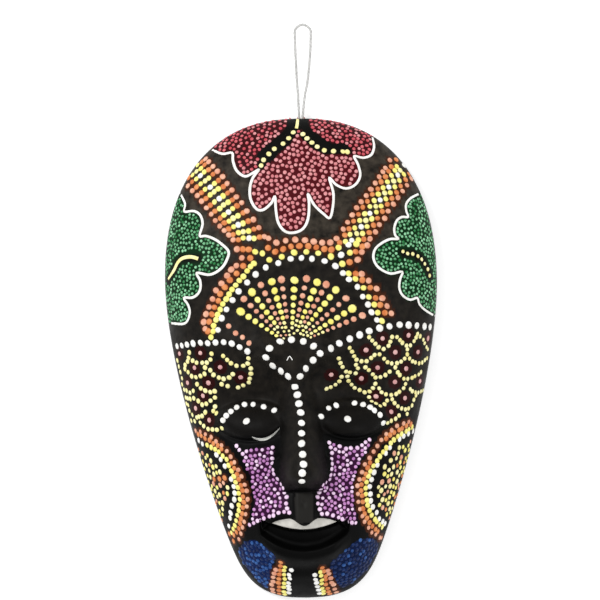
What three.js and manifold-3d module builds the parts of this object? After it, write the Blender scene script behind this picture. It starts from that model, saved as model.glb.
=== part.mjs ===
// A carved wooden wall mask with a dot-painted face, lying on its flat back, and its hanging cord.
// Millimetres, +Z up. The origin is the middle of the flat back, +Y points to the crown of the head,
// and the face looks up along +Z. The mask is one carved shell, hollow behind. Both ends of the cord
// go through a hole drilled in the crown and are tied in a knot inside the hollow.

import * as THREE from "three";
import { mergeVertices } from "three/addons/utils/BufferGeometryUtils.js";
import Module from "manifold-3d";

// The outline: an egg with its blunt end at the crown, drawn as half widths along Y.
const HEIGHT = 240;
const WIDTH = 136.4;
const WIDEST_Y = 36.5;
const CROWN_FULLNESS = [2.36, 2.34];
const JAW_TAPER = [0.592, 1.54];
const CHIN_SQUARENESS = [23.5, 2.42];

// The shell: a dome over an upright edge, with a flat rim to lie on and a hollow inside it.
const EDGE = 8;
const DOME = 31;
const DOME_FULLNESS = [2.3, 0.56];
const RIM = 10;
const RIM_CHAMFER = 1.2;
const HOLLOW_DEPTH = 20;
const HOLLOW_FULLNESS = [4, 0.55];

// The face is carved about its own upright line, a little left of the outline's middle.
// Its relief dies away over the last share of the way to the outline.
const FACE_X = -1;
const FACE_MIDDLE_Y = -26;
const RELIEF_ENDS = 0.86;

const BROW = { from: 12, to: 60, innerY: 3, outerY: 12, spread: 7, height: 3 };
const NOSE_ROOT = { lean: -3.5, top: 12, bottom: -13, halfWidth: 13, height: 3.2 };
const NOSE = { rootY: -4, tipY: -59, baseY: -66, rootHeight: 3.5, tipHeight: 15.5 };
const NOSE_HALF_WIDTH = { root: 8, tip: 12 };
const WING = { x: 8.6, y: -55.5, radius: 6, height: 4.2 };
const SOCKET = { x: 22, y: -19, spreadX: 17, spreadY: 12, depth: 8.5 };
const EYE = { x: 25.2, y: -31, halfLength: 16.5, halfHeight: 11, height: 6.4 };
const CHEEK = { x: 31, y: -52, spread: 13, height: 2.4 };
const CHEEK_FOLD = { x: 17, y: -60, spread: 10, depth: 2.6 };
const MUZZLE = { y: -86, spreadX: 23, spreadY: 17, height: 6.5 };
const PHILTRUM = { top: -64, bottom: -84, halfWidth: 4.6, height: 1.6 };
const MOUTH = { halfWidth: 22.5, cornerY: -87.5, dip: 3.8, peak: 7.6, peakX: 7.5, drop: 9, depth: 6.5 };
const LOWER_LIP = { y: -100, sag: 9, spread: 4.2, height: 3 };
const CHIN = { top: -104, halfWidth: 8.5, height: 1.8 };

// The cord lies on the same surface as the mask and still has the shape of the loop it hung in.
const CORD_DIAMETER = 1.4;
const CORD_HOLE = { x: 1.8, z: 5, radius: 2, length: 40 };
const STRAND_GAP = 1.8;
const KNOT = { y: 101, radius: 2.7, length: 4.4 };
const FIT_GAP = 0.3;
const LOOP = { topY: 163, centreX: 3.6, halfWidth: 4, restY: 138 };

// How finely the shell is faceted. Rows run from the crown to the chin and are closest on the face.
// Columns run round each row: over the front, the right wall and rim, the hollow, the left rim and wall.
const FACE_TOP = 20;
const FACE_BOTTOM = -104;
const CROWN_ROWS = 18;
const FACE_ROWS = 48;
const CHIN_ROWS = 6;
const FRONT_COLUMNS = 44;
const HOLLOW_COLUMNS = 10;
const EDGE_CROWDING = 0.5;
const CORD_SIDES = 8;
const CORD_STEPS = 46;

const PAINTED_BLACK = new THREE.MeshStandardMaterial({ color: 0x1c1a17, roughness: 0.45, metalness: 0 });
const COTTON = new THREE.MeshStandardMaterial({ color: 0xd9d7d0, roughness: 0.9, metalness: 0 });

const { clamp, lerp, smoothstep } = THREE.MathUtils;
const bell = (distance, spread) => Math.exp(-((distance / spread) ** 2));

// Half the outline's width at a height y.
function halfWidth(y) {
  const above = y > WIDEST_Y;
  const reach = HEIGHT / 2 + (above ? -WIDEST_Y : WIDEST_Y);
  const t = clamp(Math.abs(y - WIDEST_Y) / reach, 0, 1);
  const [power, root] = above ? CROWN_FULLNESS : CHIN_SQUARENESS;
  const taper = above ? 1 : 1 - JAW_TAPER[0] * t ** JAW_TAPER[1];
  return (WIDTH / 2) * taper * (1 - t ** power) ** (1 / root);
}

// The last place where a test still holds, going from a start that passes it towards an end that fails.
function lastInside(start, end, test) {
  let inside = start;
  let outside = end;
  while (Math.abs(outside - inside) > 1e-4) {
    const middle = (inside + outside) / 2;
    if (test(middle)) inside = middle;
    else outside = middle;
  }
  return inside;
}

// How far a point is from the middle of the face, and how far the outline is in the same direction.
function reachOf(x, y) {
  const distance = Math.hypot(x - FACE_X, y - FACE_MIDDLE_Y);
  const angle = Math.atan2(y - FACE_MIDDLE_Y, x - FACE_X);
  const reach = lastInside(0, HEIGHT, (away) => {
    const height = FACE_MIDDLE_Y + away * Math.sin(angle);
    const across = FACE_X + away * Math.cos(angle);
    return Math.abs(height) < HEIGHT / 2 && Math.abs(across) < halfWidth(height);
  });
  return { distance, reach };
}

function browRelief(x, y) {
  const along = clamp((Math.abs(x) - BROW.from) / (BROW.to - BROW.from), 0, 1);
  const crest = lerp(BROW.innerY, BROW.outerY, Math.sin((along * Math.PI) / 2));
  const fade = smoothstep(Math.abs(x), 0, BROW.from + 2) * (1 - 0.7 * along);
  return BROW.height * fade * bell(y - crest, BROW.spread);
}

// The nose leans a little at its root, where it opens into a flat triangle between the brows.
function noseRelief(x, y) {
  const lean = NOSE_ROOT.lean * smoothstep(y, -45, 0);
  const across = Math.abs(x - lean);
  const opening = clamp((y - NOSE_ROOT.bottom) / (NOSE_ROOT.top - NOSE_ROOT.bottom), 0, 1);
  const inRoot = smoothstep(NOSE_ROOT.halfWidth * opening - across, -3, 2);
  const rootFade = smoothstep(y, NOSE_ROOT.bottom - 2, NOSE_ROOT.bottom + 6);
  const root = NOSE_ROOT.height * inRoot * rootFade * (1 - smoothstep(y, 4, NOSE_ROOT.top + 6));

  const down = clamp((NOSE.rootY - y) / (NOSE.rootY - NOSE.tipY), 0, 1);
  const t = clamp(across / lerp(NOSE_HALF_WIDTH.root, NOSE_HALF_WIDTH.tip, down), 0, 1);
  const ridge = 1 - (Math.hypot(t, 0.3) - 0.3) / (Math.hypot(1, 0.3) - 0.3);
  const profile = lerp(NOSE.rootHeight, NOSE.tipHeight, down ** 1.2);
  const ends = smoothstep(y, NOSE.baseY, NOSE.tipY) * (1 - smoothstep(y, NOSE.rootY, NOSE.rootY + 10));
  const wing = WING.height * bell(Math.hypot(across - WING.x, y - WING.y), WING.radius);
  return root + profile * ridge * ends + wing * smoothstep(y, NOSE.baseY, NOSE.baseY + 4);
}

// Each eye is an almond swelling that stands in a hollow socket.
function eyeRelief(x, y) {
  const across = Math.abs(x);
  const socket = bell(across - SOCKET.x, SOCKET.spreadX) * bell(y - SOCKET.y, SOCKET.spreadY);
  const fromMiddle = Math.hypot((across - EYE.x) / EYE.halfLength, (y - EYE.y) / EYE.halfHeight);
  return EYE.height * Math.max(0, 1 - fromMiddle ** 2) - SOCKET.depth * socket;
}

function cheekRelief(x, y) {
  const bone = bell(Math.hypot(Math.abs(x) - CHEEK.x, y - CHEEK.y), CHEEK.spread);
  const fold = bell(Math.hypot(Math.abs(x) - CHEEK_FOLD.x, y - CHEEK_FOLD.y), CHEEK_FOLD.spread);
  return CHEEK.height * bone - CHEEK_FOLD.depth * fold;
}

// The open mouth: its upper edge is a bow with a point in the middle, its lower edge one arc.
function mouthRelief(x, y) {
  const across = Math.abs(x) / MOUTH.halfWidth;
  const muzzle = MUZZLE.height * bell(x, MUZZLE.spreadX) * bell(y - MUZZLE.y, MUZZLE.spreadY);
  const groove = smoothstep(PHILTRUM.halfWidth - Math.abs(x), -1.5, 1.5);
  const philtrum = groove * smoothstep(y, PHILTRUM.bottom - 1, PHILTRUM.bottom + 2);
  const lip = muzzle + PHILTRUM.height * philtrum * (1 - smoothstep(y, PHILTRUM.top - 4, PHILTRUM.top));
  const lowerY = LOWER_LIP.y + LOWER_LIP.sag * across ** 2;
  const lipRoll = LOWER_LIP.height * bell(y - lowerY, LOWER_LIP.spread) * (1 - smoothstep(across, 0.6, 1.1));
  if (across >= 1) return lip + lipRoll;
  const bow = MOUTH.peak * (1 - across ** 4);
  const point = MOUTH.dip * (1 - smoothstep(Math.abs(x), 0, MOUTH.peakX));
  const fromTop = MOUTH.cornerY + bow - point - y;
  const fromBottom = y - (MOUTH.cornerY - MOUTH.drop * (1 - across ** 2));
  const open = smoothstep(Math.min(fromTop, fromBottom), -1.6, 4);
  return lip + lipRoll * (1 - open) - MOUTH.depth * open;
}

function chinRelief(x, y) {
  const within = smoothstep(CHIN.halfWidth - Math.abs(x), -2, 2);
  return CHIN.height * within * (1 - smoothstep(y, CHIN.top - 6, CHIN.top + 2));
}

// The carved front: the dome falls to the upright edge all round, and the face is cut into it.
function frontHeight(x, y) {
  const { distance, reach } = reachOf(x, y);
  const share = Math.min(1, distance / reach);
  const dome = DOME * (1 - share ** DOME_FULLNESS[0]) ** DOME_FULLNESS[1];
  const features = [browRelief, noseRelief, eyeRelief, cheekRelief, mouthRelief, chinRelief];
  const relief = features.reduce((sum, feature) => sum + feature(x - FACE_X, y), 0);
  return EDGE + dome + relief * (1 - smoothstep(share, RELIEF_ENDS, 1));
}

// The hollow behind: none in the rim, then a steep wall and a broad floor.
function hollowDepth(x, y) {
  const { distance, reach } = reachOf(x, y);
  const share = Math.min(1, distance / (reach - RIM));
  return HOLLOW_DEPTH * (1 - share ** HOLLOW_FULLNESS[0]) ** HOLLOW_FULLNESS[1];
}

// The points round one row of the shell, from the left edge over the front and back under it.
function shellRow(y) {
  const edge = halfWidth(y);
  const hollowEdge = (side) => lastInside(FACE_X, side * edge, (x) => hollowDepth(x, y) > 0);
  const inner = [1, -1].map((side) => side * Math.max(side * hollowEdge(side), edge / 4));
  const points = [];
  for (let column = 0; column <= FRONT_COLUMNS; column++) {
    const even = column / FRONT_COLUMNS;
    const x = edge * lerp(2 * even - 1, -Math.cos(even * Math.PI), EDGE_CROWDING);
    points.push(new THREE.Vector3(x, y, frontHeight(x, y)));
  }
  points.push(new THREE.Vector3(edge, y, RIM_CHAMFER));
  points.push(new THREE.Vector3(edge - Math.min(RIM_CHAMFER, edge / 4), y, 0));
  for (let column = 0; column <= HOLLOW_COLUMNS; column++) {
    const x = lerp(...inner, (1 - Math.cos((Math.PI * column) / HOLLOW_COLUMNS)) / 2);
    const onRim = column % HOLLOW_COLUMNS === 0;
    points.push(new THREE.Vector3(x, y, onRim ? 0 : hollowDepth(x, y)));
  }
  points.push(new THREE.Vector3(-edge + Math.min(RIM_CHAMFER, edge / 4), y, 0));
  points.push(new THREE.Vector3(-edge, y, RIM_CHAMFER));
  return points;
}

// The heights of the rows, crowded together at the crown and the chin, where the outline turns in.
function rowHeights() {
  const crown = [...Array(CROWN_ROWS).keys()].map((row) => {
    return lerp(HEIGHT / 2, FACE_TOP, 1 - Math.cos((row / CROWN_ROWS) * (Math.PI / 2)));
  });
  const face = [...Array(FACE_ROWS).keys()].map((row) => lerp(FACE_TOP, FACE_BOTTOM, row / FACE_ROWS));
  const chin = [...Array(CHIN_ROWS + 1).keys()].map((row) => {
    return lerp(FACE_BOTTOM, -HEIGHT / 2, Math.sin((row / CHIN_ROWS) * (Math.PI / 2)));
  });
  return [...crown, ...face, ...chin];
}

// A sphere's grid of rows and columns, with each of its points moved onto the shell.
function shellGeometry() {
  const heights = rowHeights();
  const last = heights.length - 1;
  const columns = shellRow(0).length;
  const geometry = new THREE.SphereGeometry(1, columns, last);
  const position = geometry.getAttribute("position");
  heights.forEach((y, row) => {
    const atEnd = row === 0 || row === last;
    const points = atEnd ? [new THREE.Vector3(0, y, EDGE / 2)] : shellRow(y);
    for (let column = 0; column <= columns; column++) {
      const { x, z } = points[column % points.length];
      position.setXYZ(row * (columns + 1) + column, x, y, z);
    }
  });
  return geometry;
}

const wasm = await Module();
wasm.setup();

function solidOf(geometry) {
  const bare = geometry.clone();
  bare.deleteAttribute("normal");
  bare.deleteAttribute("uv");
  const merged = mergeVertices(bare, 1e-3);
  const vertProperties = new Float32Array(merged.getAttribute("position").array);
  const triVerts = new Uint32Array(merged.index.array);
  return new wasm.Manifold(new wasm.Mesh({ numProp: 3, vertProperties, triVerts }));
}

function geometryOf(solid) {
  const { vertProperties, triVerts } = solid.getMesh();
  const geometry = new THREE.BufferGeometry();
  geometry.setAttribute("position", new THREE.BufferAttribute(vertProperties, 3));
  geometry.setIndex(new THREE.BufferAttribute(triVerts, 1));
  geometry.computeVertexNormals();
  return geometry;
}

// The shell, with the cord's hole drilled through its wall at the crown.
function carvedMask() {
  const drill = new THREE.CylinderGeometry(CORD_HOLE.radius, CORD_HOLE.radius, CORD_HOLE.length, 12);
  drill.translate(CORD_HOLE.x, HEIGHT / 2, CORD_HOLE.z);
  const solid = solidOf(shellGeometry()).subtract(solidOf(drill));
  const mask = new THREE.Mesh(geometryOf(solid), PAINTED_BLACK);
  mask.name = "carved_mask";
  return mask;
}

// The cord's line: out of the knot, through the hole, down onto the table, round the loop and back.
function cordLine() {
  const lying = CORD_DIAMETER / 2 + 0.05;
  const start = KNOT.y + KNOT.length / 2 + FIT_GAP;
  const side = (sign) => {
    const holeX = CORD_HOLE.x + (sign * STRAND_GAP) / 2;
    const loopX = LOOP.centreX + sign * LOOP.halfWidth;
    return [
      new THREE.Vector3(holeX, start, CORD_HOLE.z),
      new THREE.Vector3(holeX, HEIGHT / 2 - 5, CORD_HOLE.z),
      new THREE.Vector3(holeX, HEIGHT / 2 + 1, CORD_HOLE.z),
      new THREE.Vector3(lerp(holeX, loopX, 0.15), HEIGHT / 2 + 7, lerp(lying, CORD_HOLE.z, 0.7)),
      new THREE.Vector3(lerp(holeX, loopX, 0.32), HEIGHT / 2 + 13, lerp(lying, CORD_HOLE.z, 0.2)),
      new THREE.Vector3(lerp(holeX, loopX, 0.55), LOOP.restY, lying),
      new THREE.Vector3(lerp(holeX, loopX, 0.85), LOOP.restY + 12, lying),
      new THREE.Vector3(loopX, LOOP.topY - 2, lying),
    ];
  };
  const crown = [-0.7, 0, 0.7].map((turn) => {
    const angle = (turn * Math.PI) / 2;
    const x = LOOP.centreX + LOOP.halfWidth * Math.sin(angle);
    return new THREE.Vector3(x, LOOP.topY + LOOP.halfWidth * Math.cos(angle), lying);
  });
  return new THREE.CatmullRomCurve3([...side(-1), ...crown, ...side(1).reverse()]);
}

function hangingCord() {
  const corners = [...Array(CORD_SIDES).keys()].map((corner) => {
    const angle = (2 * Math.PI * corner) / CORD_SIDES;
    return new THREE.Vector2(Math.cos(angle), Math.sin(angle)).multiplyScalar(CORD_DIAMETER / 2);
  });
  const section = new THREE.Shape(corners);
  const geometry = new THREE.ExtrudeGeometry(section, { steps: CORD_STEPS, extrudePath: cordLine() });
  const cord = new THREE.Mesh(geometry, COTTON);
  cord.name = "hanging_cord";
  return cord;
}

function cordKnot() {
  const geometry = new THREE.SphereGeometry(KNOT.radius, 12, 8);
  geometry.scale(1, KNOT.length / 2 / KNOT.radius, 1);
  const knot = new THREE.Mesh(geometry, COTTON);
  knot.name = "cord_knot";
  knot.position.set(CORD_HOLE.x, KNOT.y, CORD_HOLE.z);
  return knot;
}

const wallMask = new THREE.Group();
wallMask.add(carvedMask(), hangingCord(), cordKnot());

export default wallMask;
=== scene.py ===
# %% [markdown]
# # A dot-painted wall mask
#
# The real object is a long mask carved from one piece of light wood. It is painted black, and its
# pictures are made of thousands of small drops of paint. A thin string at the crown hangs it on a wall.
# Here it lies on its flat back, so we look straight down at its face.
#
# We start from the imported CAD model, the frame. It fixes every size and place.

# %% Load the frame
import math
import random
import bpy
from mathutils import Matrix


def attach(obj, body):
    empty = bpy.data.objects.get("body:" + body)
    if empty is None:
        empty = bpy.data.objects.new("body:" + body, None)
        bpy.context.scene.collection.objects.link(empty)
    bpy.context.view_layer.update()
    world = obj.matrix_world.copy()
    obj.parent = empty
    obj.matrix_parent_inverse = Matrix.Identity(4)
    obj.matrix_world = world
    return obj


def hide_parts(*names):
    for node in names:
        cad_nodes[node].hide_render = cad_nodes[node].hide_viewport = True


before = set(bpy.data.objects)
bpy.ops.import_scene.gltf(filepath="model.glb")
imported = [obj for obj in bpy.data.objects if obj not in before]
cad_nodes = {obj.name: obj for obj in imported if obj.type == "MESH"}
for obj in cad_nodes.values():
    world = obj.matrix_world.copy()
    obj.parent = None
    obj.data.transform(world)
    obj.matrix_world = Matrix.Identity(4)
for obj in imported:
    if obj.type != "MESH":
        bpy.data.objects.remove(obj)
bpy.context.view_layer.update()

from types import SimpleNamespace as Form

import bmesh
import bpy
import numpy as np
from mathutils import Matrix, Vector
from mathutils.bvhtree import BVHTree

MM = 0.001
scene = bpy.context.scene

# %% [markdown]
# ## The camera
#
# The picture was taken square on, from far enough away that the nose hardly looks larger than the
# cheeks. A camera without perspective would come close too, but a long lens six metres above the mask
# keeps the little perspective that a real picture has. The mask hung slightly askew, and turning the
# camera about its own line of sight gives that tilt without moving the object.

# %% Camera
PICTURE_SIZE = 300 * MM
PICTURE_MIDDLE = Vector((-0.7, 29.1, 10)) * MM
CAMERA_HEIGHT = 6
CAMERA_ROLL = math.radians(-1.28)
SENSOR = 36

camera = bpy.data.objects.new("camera", bpy.data.cameras.new("camera"))
scene.collection.objects.link(camera)
camera.data.sensor_width = SENSOR
camera.data.lens = SENSOR * CAMERA_HEIGHT / PICTURE_SIZE
camera.location = PICTURE_MIDDLE + Vector((0, 0, CAMERA_HEIGHT))
camera.rotation_euler = (0, 0, CAMERA_ROLL)
scene.camera = camera
print("camera: lens", round(camera.data.lens), "mm")

# %% [markdown]
# ## Helpers for lines
#
# The cord, the leaf outlines and the rows of dots are all lines through a few chosen points. Bezier
# curves could draw them, but their handles lie off the line. A Catmull-Rom curve passes through every
# point that it is given, so the points can be read as places on the mask. `evenly` then walks along
# such a line in equal steps.

# %% Lines through points
def smooth_line(points, steps=12):
    """Points along a smooth curve that passes through all the given ones."""
    given = [Vector(p) for p in points]
    ends = [given[0] * 2 - given[1]] + given + [given[-1] * 2 - given[-2]]
    line = []
    for a, b, c, d in zip(ends, ends[1:], ends[2:], ends[3:]):
        for step in range(steps):
            t = step / steps
            bend = (2 * a - 5 * b + 4 * c - d) * t * t + (3 * b - a - 3 * c + d) * t ** 3
            line.append(b + ((c - a) * t + bend) / 2)
    return line + [given[-1]]


def evenly(line, pitch):
    """Places along a line, a fixed distance apart."""
    places = [start.copy() for start in line[:1]]
    left = pitch
    for a, b in zip(line, line[1:]):
        length = (b - a).length
        at = left
        while at <= length and length > 0:
            places.append(a.lerp(b, at / length))
            at += pitch
        left = at - length
    return places


def length_of(line):
    return sum((b - a).length for a, b in zip(line, line[1:]))


arc = smooth_line([(0, 0, 0), (1, 1, 0), (2, 0, 0)])
print("a curve through 3 places has", len(arc), "points and is", round(length_of(arc), 2), "long")

# %% [markdown]
# ## The hanging cord
#
# The cord is thin white string. Both ends go through a hole at the crown and are tied inside the
# hollow, and the loop outside still has the shape it had on the wall. String is twisted from plies,
# so a plain round tube would look like wire. Here a profile with three lobes is swept along the route
# with a steady tilt, which winds the lobes into a twist. The sweep is a curve, made into a mesh.

# %% Twisted string
LOBE_DEPTH = 0.16
CORNERS_OF_LOBE = 6
CORNERS_OF_TUBE = 10


def profile_of(name, radius, lobes):
    """A closed ring to sweep: round, or with a lobe for each ply of a string."""
    profile = bpy.data.curves.new(name + "_profile", "CURVE")
    corners = CORNERS_OF_LOBE * lobes if lobes else CORNERS_OF_TUBE
    ring = profile.splines.new("POLY")
    ring.points.add(corners - 1)
    ring.use_cyclic_u = True
    for index, point in enumerate(ring.points):
        angle = 2 * math.pi * index / corners
        reach = radius * (1 - LOBE_DEPTH * (1 - math.cos(lobes * angle)) / 2)
        point.co = (reach * math.cos(angle), reach * math.sin(angle), 0, 1)
    return bpy.data.objects.new(name + "_profile", profile)


def swept(name, path, radius, lobes=0, lay=1.0):
    """A tube along a path in metres. With lobes it is a twisted string that turns once in each lay."""
    profile = profile_of(name, radius, lobes)
    curve = bpy.data.curves.new(name + "_route", "CURVE")
    curve.dimensions = "3D"
    curve.bevel_mode = "OBJECT"
    curve.bevel_object = profile
    curve.use_fill_caps = True
    spline = curve.splines.new("POLY")
    spline.points.add(len(path) - 1)
    travelled = 0.0
    for index, place in enumerate(path):
        if index:
            travelled += (place - path[index - 1]).length
        spline.points[index].co = (*place, 1)
        if lobes:
            spline.points[index].tilt = 2 * math.pi * travelled / lay
    tube = bpy.data.objects.new(name + "_route", curve)
    for helper in (profile, tube):
        scene.collection.objects.link(helper)
    depsgraph = bpy.context.evaluated_depsgraph_get()
    mesh = bpy.data.meshes.new_from_object(tube.evaluated_get(depsgraph))
    for helper in (tube, profile):
        helper_curve = helper.data
        bpy.data.objects.remove(helper)
        bpy.data.curves.remove(helper_curve)
    return mesh


print("a ply of the string has", CORNERS_OF_LOBE, "corners, a plain tube", CORNERS_OF_TUBE)

# %% [markdown]
# Every finished mesh becomes an object that goes with the mask and belongs to one of its materials. It
# could be set up by hand each time, but one function does the same for all pieces, so none is forgotten.

# %% Put a piece in the scene
def add_piece(name, mesh):
    """Put a finished mesh in the scene as a smooth-shaded piece that goes with the mask."""
    mesh.name = name
    for polygon in mesh.polygons:
        polygon.use_smooth = True
    piece = bpy.data.objects.new(name, mesh)
    scene.collection.objects.link(piece)
    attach(piece, "root")
    return piece


print("pieces ride on the body that is named root")

# %% [markdown]
# The loop could be left to fall in a simulation, but it lies still and its shape is known. So its route
# is a list of given places, as in the CAD model: out of the hole, down onto the table and
# round the loop. The two strands mirror each other, so one function gives both.

# %% Route of the cord
CORD_DIAMETER = 1.4
PLIES = 3
STRING_LAY = 5.5
CROWN_Y = 120
HOLE_X = 1.8
HOLE_Z = 5
STRAND_GAP = 1.8
KNOT_Y = 101
ROUTE_START = 103.5
LYING_Z = CORD_DIAMETER / 2 + 0.05
LOOP_X = 3.6
LOOP_TOP = 163
LOOP_REST = 138
LOOP_HALF_WIDTH = 4
LOOP_TURNS = (-0.7, 0, 0.7)
ROUTE_STEPS = 24
ROUTE_PITCH = 0.4


def strand(side):
    """One strand from the knot to the loop: straight out of the hole, then down onto the table."""
    hole_x = HOLE_X + side * STRAND_GAP / 2
    loop_x = LOOP_X + side * LOOP_HALF_WIDTH

    def place(share, y, lift):
        return (hole_x + (loop_x - hole_x) * share, y, LYING_Z + (HOLE_Z - LYING_Z) * lift)

    return [
        place(0, ROUTE_START, 1), place(0, CROWN_Y - 5, 1), place(0, CROWN_Y + 1, 1),
        place(0.15, CROWN_Y + 7, 0.7), place(0.32, CROWN_Y + 13, 0.2), place(0.55, LOOP_REST, 0),
        place(0.85, LOOP_REST + 12, 0), place(1, LOOP_TOP - 2, 0),
    ]


def loop_crown(turn):
    angle = turn * math.pi / 2
    x = LOOP_X + LOOP_HALF_WIDTH * math.sin(angle)
    return (x, LOOP_TOP + LOOP_HALF_WIDTH * math.cos(angle), LYING_Z)


def string_along(name, places, steps, pitch):
    """Twisted string through places in millimetres: its mesh, and the path that it follows."""
    path = evenly([point * MM for point in smooth_line(places, steps)], pitch * MM)
    return swept(name, path, CORD_DIAMETER / 2 * MM, PLIES, STRING_LAY * MM), path


route = strand(-1) + [loop_crown(turn) for turn in LOOP_TURNS] + strand(1)[::-1]
cord_mesh, cord_path = string_along("hanging_string", route, ROUTE_STEPS, ROUTE_PITCH)
hanging_string = add_piece("hanging_string", cord_mesh)
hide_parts("hanging_cord")

# %% [markdown]
# The two ends are tied together in an overhand knot. A lump would fill the place, but from behind the
# turns of the string can be seen. A trefoil is the same knot with its ends joined, so the formula of a
# trefoil, cut open, gives a knot that really is tied. Two short tails hang from it.

# %% Knot
KNOT_SCALE = 0.62
KNOT_FLATNESS = 0.9
KNOT_OPENING = 0.35
KNOT_TURNS = 30
KNOT_STEPS = 6
KNOT_PITCH = 0.35
FIRST_TAIL = ((-2.6, -6.5, -2.2), (-1, -2.6, -1.2))
LAST_TAIL = ((0.8, -2.5, -1.4), (2.2, -5.5, -2.4))


def trefoil(t):
    x = math.sin(t) + 2 * math.sin(2 * t)
    z = math.cos(t) - 2 * math.cos(2 * t)
    return (KNOT_SCALE * x, -KNOT_FLATNESS * math.sin(3 * t), KNOT_SCALE * z)


open_turn = 2 * math.pi - 2 * KNOT_OPENING
turns = [KNOT_OPENING + open_turn * i / KNOT_TURNS for i in range(KNOT_TURNS + 1)]
knot_shape = [*FIRST_TAIL, *(trefoil(t) for t in turns), *LAST_TAIL]
knot_places = [Vector((HOLE_X, KNOT_Y, HOLE_Z)) + Vector(place) for place in knot_shape]
knot_mesh, _ = string_along("string_knot", knot_places, KNOT_STEPS, KNOT_PITCH)
string_knot = add_piece("string_knot", knot_mesh)
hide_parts("cord_knot")
print("knot:", len(knot_mesh.polygons), "faces")

# %% [markdown]
# ## The carving
#
# The CAD node has the mask's true outline, but its facets are a few millimetres wide. The mask could be
# modelled anew, but a copy keeps the outline and the hole exactly. We merge the copy's loose triangles,
# pair them back into four-sided faces and subdivide those twice. Sharp edges at the rim and round the
# hole are creased first, or the subdivision would round them away.

# %% Copy the mask as smooth quads
EDGE = 8
CREASED_BELOW = EDGE - 0.5
CREASE_ANGLE = math.radians(50)
MERGE_DISTANCE = 1e-6
SUBDIVISIONS = 2

carving = bmesh.new()
carving.from_mesh(cad_nodes["carved_mask"].data)
bmesh.ops.remove_doubles(carving, verts=carving.verts, dist=MERGE_DISTANCE)
bmesh.ops.join_triangles(
    carving, faces=carving.faces, angle_face_threshold=math.pi, angle_shape_threshold=math.pi,
)
crease = carving.edges.layers.float.new("crease_edge")
for edge in carving.edges:
    low = max(vertex.co.z for vertex in edge.verts) < CREASED_BELOW * MM
    if low and len(edge.link_faces) == 2 and edge.calc_face_angle() > CREASE_ANGLE:
        edge[crease] = 1
coarse_mesh = bpy.data.meshes.new("carving_coarse")
carving.to_mesh(coarse_mesh)
carving.free()

coarse = bpy.data.objects.new("carving_coarse", coarse_mesh)
scene.collection.objects.link(coarse)
smoothing = coarse.modifiers.new("smooth", "SUBSURF")
smoothing.levels = SUBDIVISIONS
smoothing.render_levels = SUBDIVISIONS
depsgraph = bpy.context.evaluated_depsgraph_get()
mask_mesh = bpy.data.meshes.new_from_object(coarse.evaluated_get(depsgraph))
bpy.data.objects.remove(coarse)
print("carving:", len(coarse_mesh.polygons), "faces, smoothed to", len(mask_mesh.polygons))

# %% [markdown]
# The carver's forms could be sculpted by hand, but then they would not follow when a size changes. Here
# they are written as heights over the flat back, in millimetres. They are the same forms as in the CAD
# model, with the sharper cuts that its facets can't hold: the rims of the eyes, the nostrils, the edges
# of the lips and the step behind the teeth. First comes the outline, an egg with its blunt end at the
# crown, and how far a point lies on the way to it.

# %% Outline
HALF_HEIGHT = 120
HALF_WIDTH = 68.2
WIDEST_Y = 36.5
CROWN_FULLNESS = (2.36, 2.34)
JAW_TAPER = (0.592, 1.54)
CHIN_SQUARENESS = (23.5, 2.42)
FACE_X = -1
FACE_MIDDLE_Y = -26
FARTHEST = 400.0
HALVINGS = 40


def step(low, high, value):
    """0 below low, 1 above high, and a smooth ramp between."""
    t = np.clip((value - low) / (high - low), 0, 1)
    return t * t * (3 - 2 * t)


def bell(distance, spread):
    return np.exp(-((distance / spread) ** 2))


def half_width(y):
    """Half the outline's width at a height y."""
    above = np.clip((y - WIDEST_Y) / (HALF_HEIGHT - WIDEST_Y), 0, 1)
    below = np.clip((WIDEST_Y - y) / (HALF_HEIGHT + WIDEST_Y), 0, 1)
    crown = (1 - above ** CROWN_FULLNESS[0]) ** (1 / CROWN_FULLNESS[1])
    chin = (1 - below ** CHIN_SQUARENESS[0]) ** (1 / CHIN_SQUARENESS[1])
    jaw = (1 - JAW_TAPER[0] * below ** JAW_TAPER[1]) * chin
    return HALF_WIDTH * crown * jaw


def outline_share(x, y):
    """How far a point lies from the middle of the face, as a share of the way to the outline."""
    dx = x - FACE_X
    dy = y - FACE_MIDDLE_Y
    inside = np.ones_like(dx)
    outside = np.full_like(dx, FARTHEST)
    for _ in range(HALVINGS):
        scale = (inside + outside) / 2
        length = np.maximum(np.hypot(dx, dy), 1e-6)
        px = FACE_X + scale * dx / length
        py = FACE_MIDDLE_Y + scale * dy / length
        within = (np.abs(py) < HALF_HEIGHT) & (np.abs(px) < half_width(py))
        inside = np.where(within, scale, inside)
        outside = np.where(within, outside, scale)
    return np.clip(np.hypot(dx, dy) / inside, 0, 1)


print("outline: half widths", [round(float(half_width(y)), 1) for y in (100, 36.5, -60, -110)], "mm")

# %% [markdown]
# The brows start at the root of the nose as a V and run out to the temples. The nose is a ridge that
# grows towards its tip, with round wings. Each form is a hill or a dip with a place, a spread and a
# height, so its numbers can be read as sizes. A pair of numbers is a ramp, from where a form starts to
# change to where the change is done.

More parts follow.
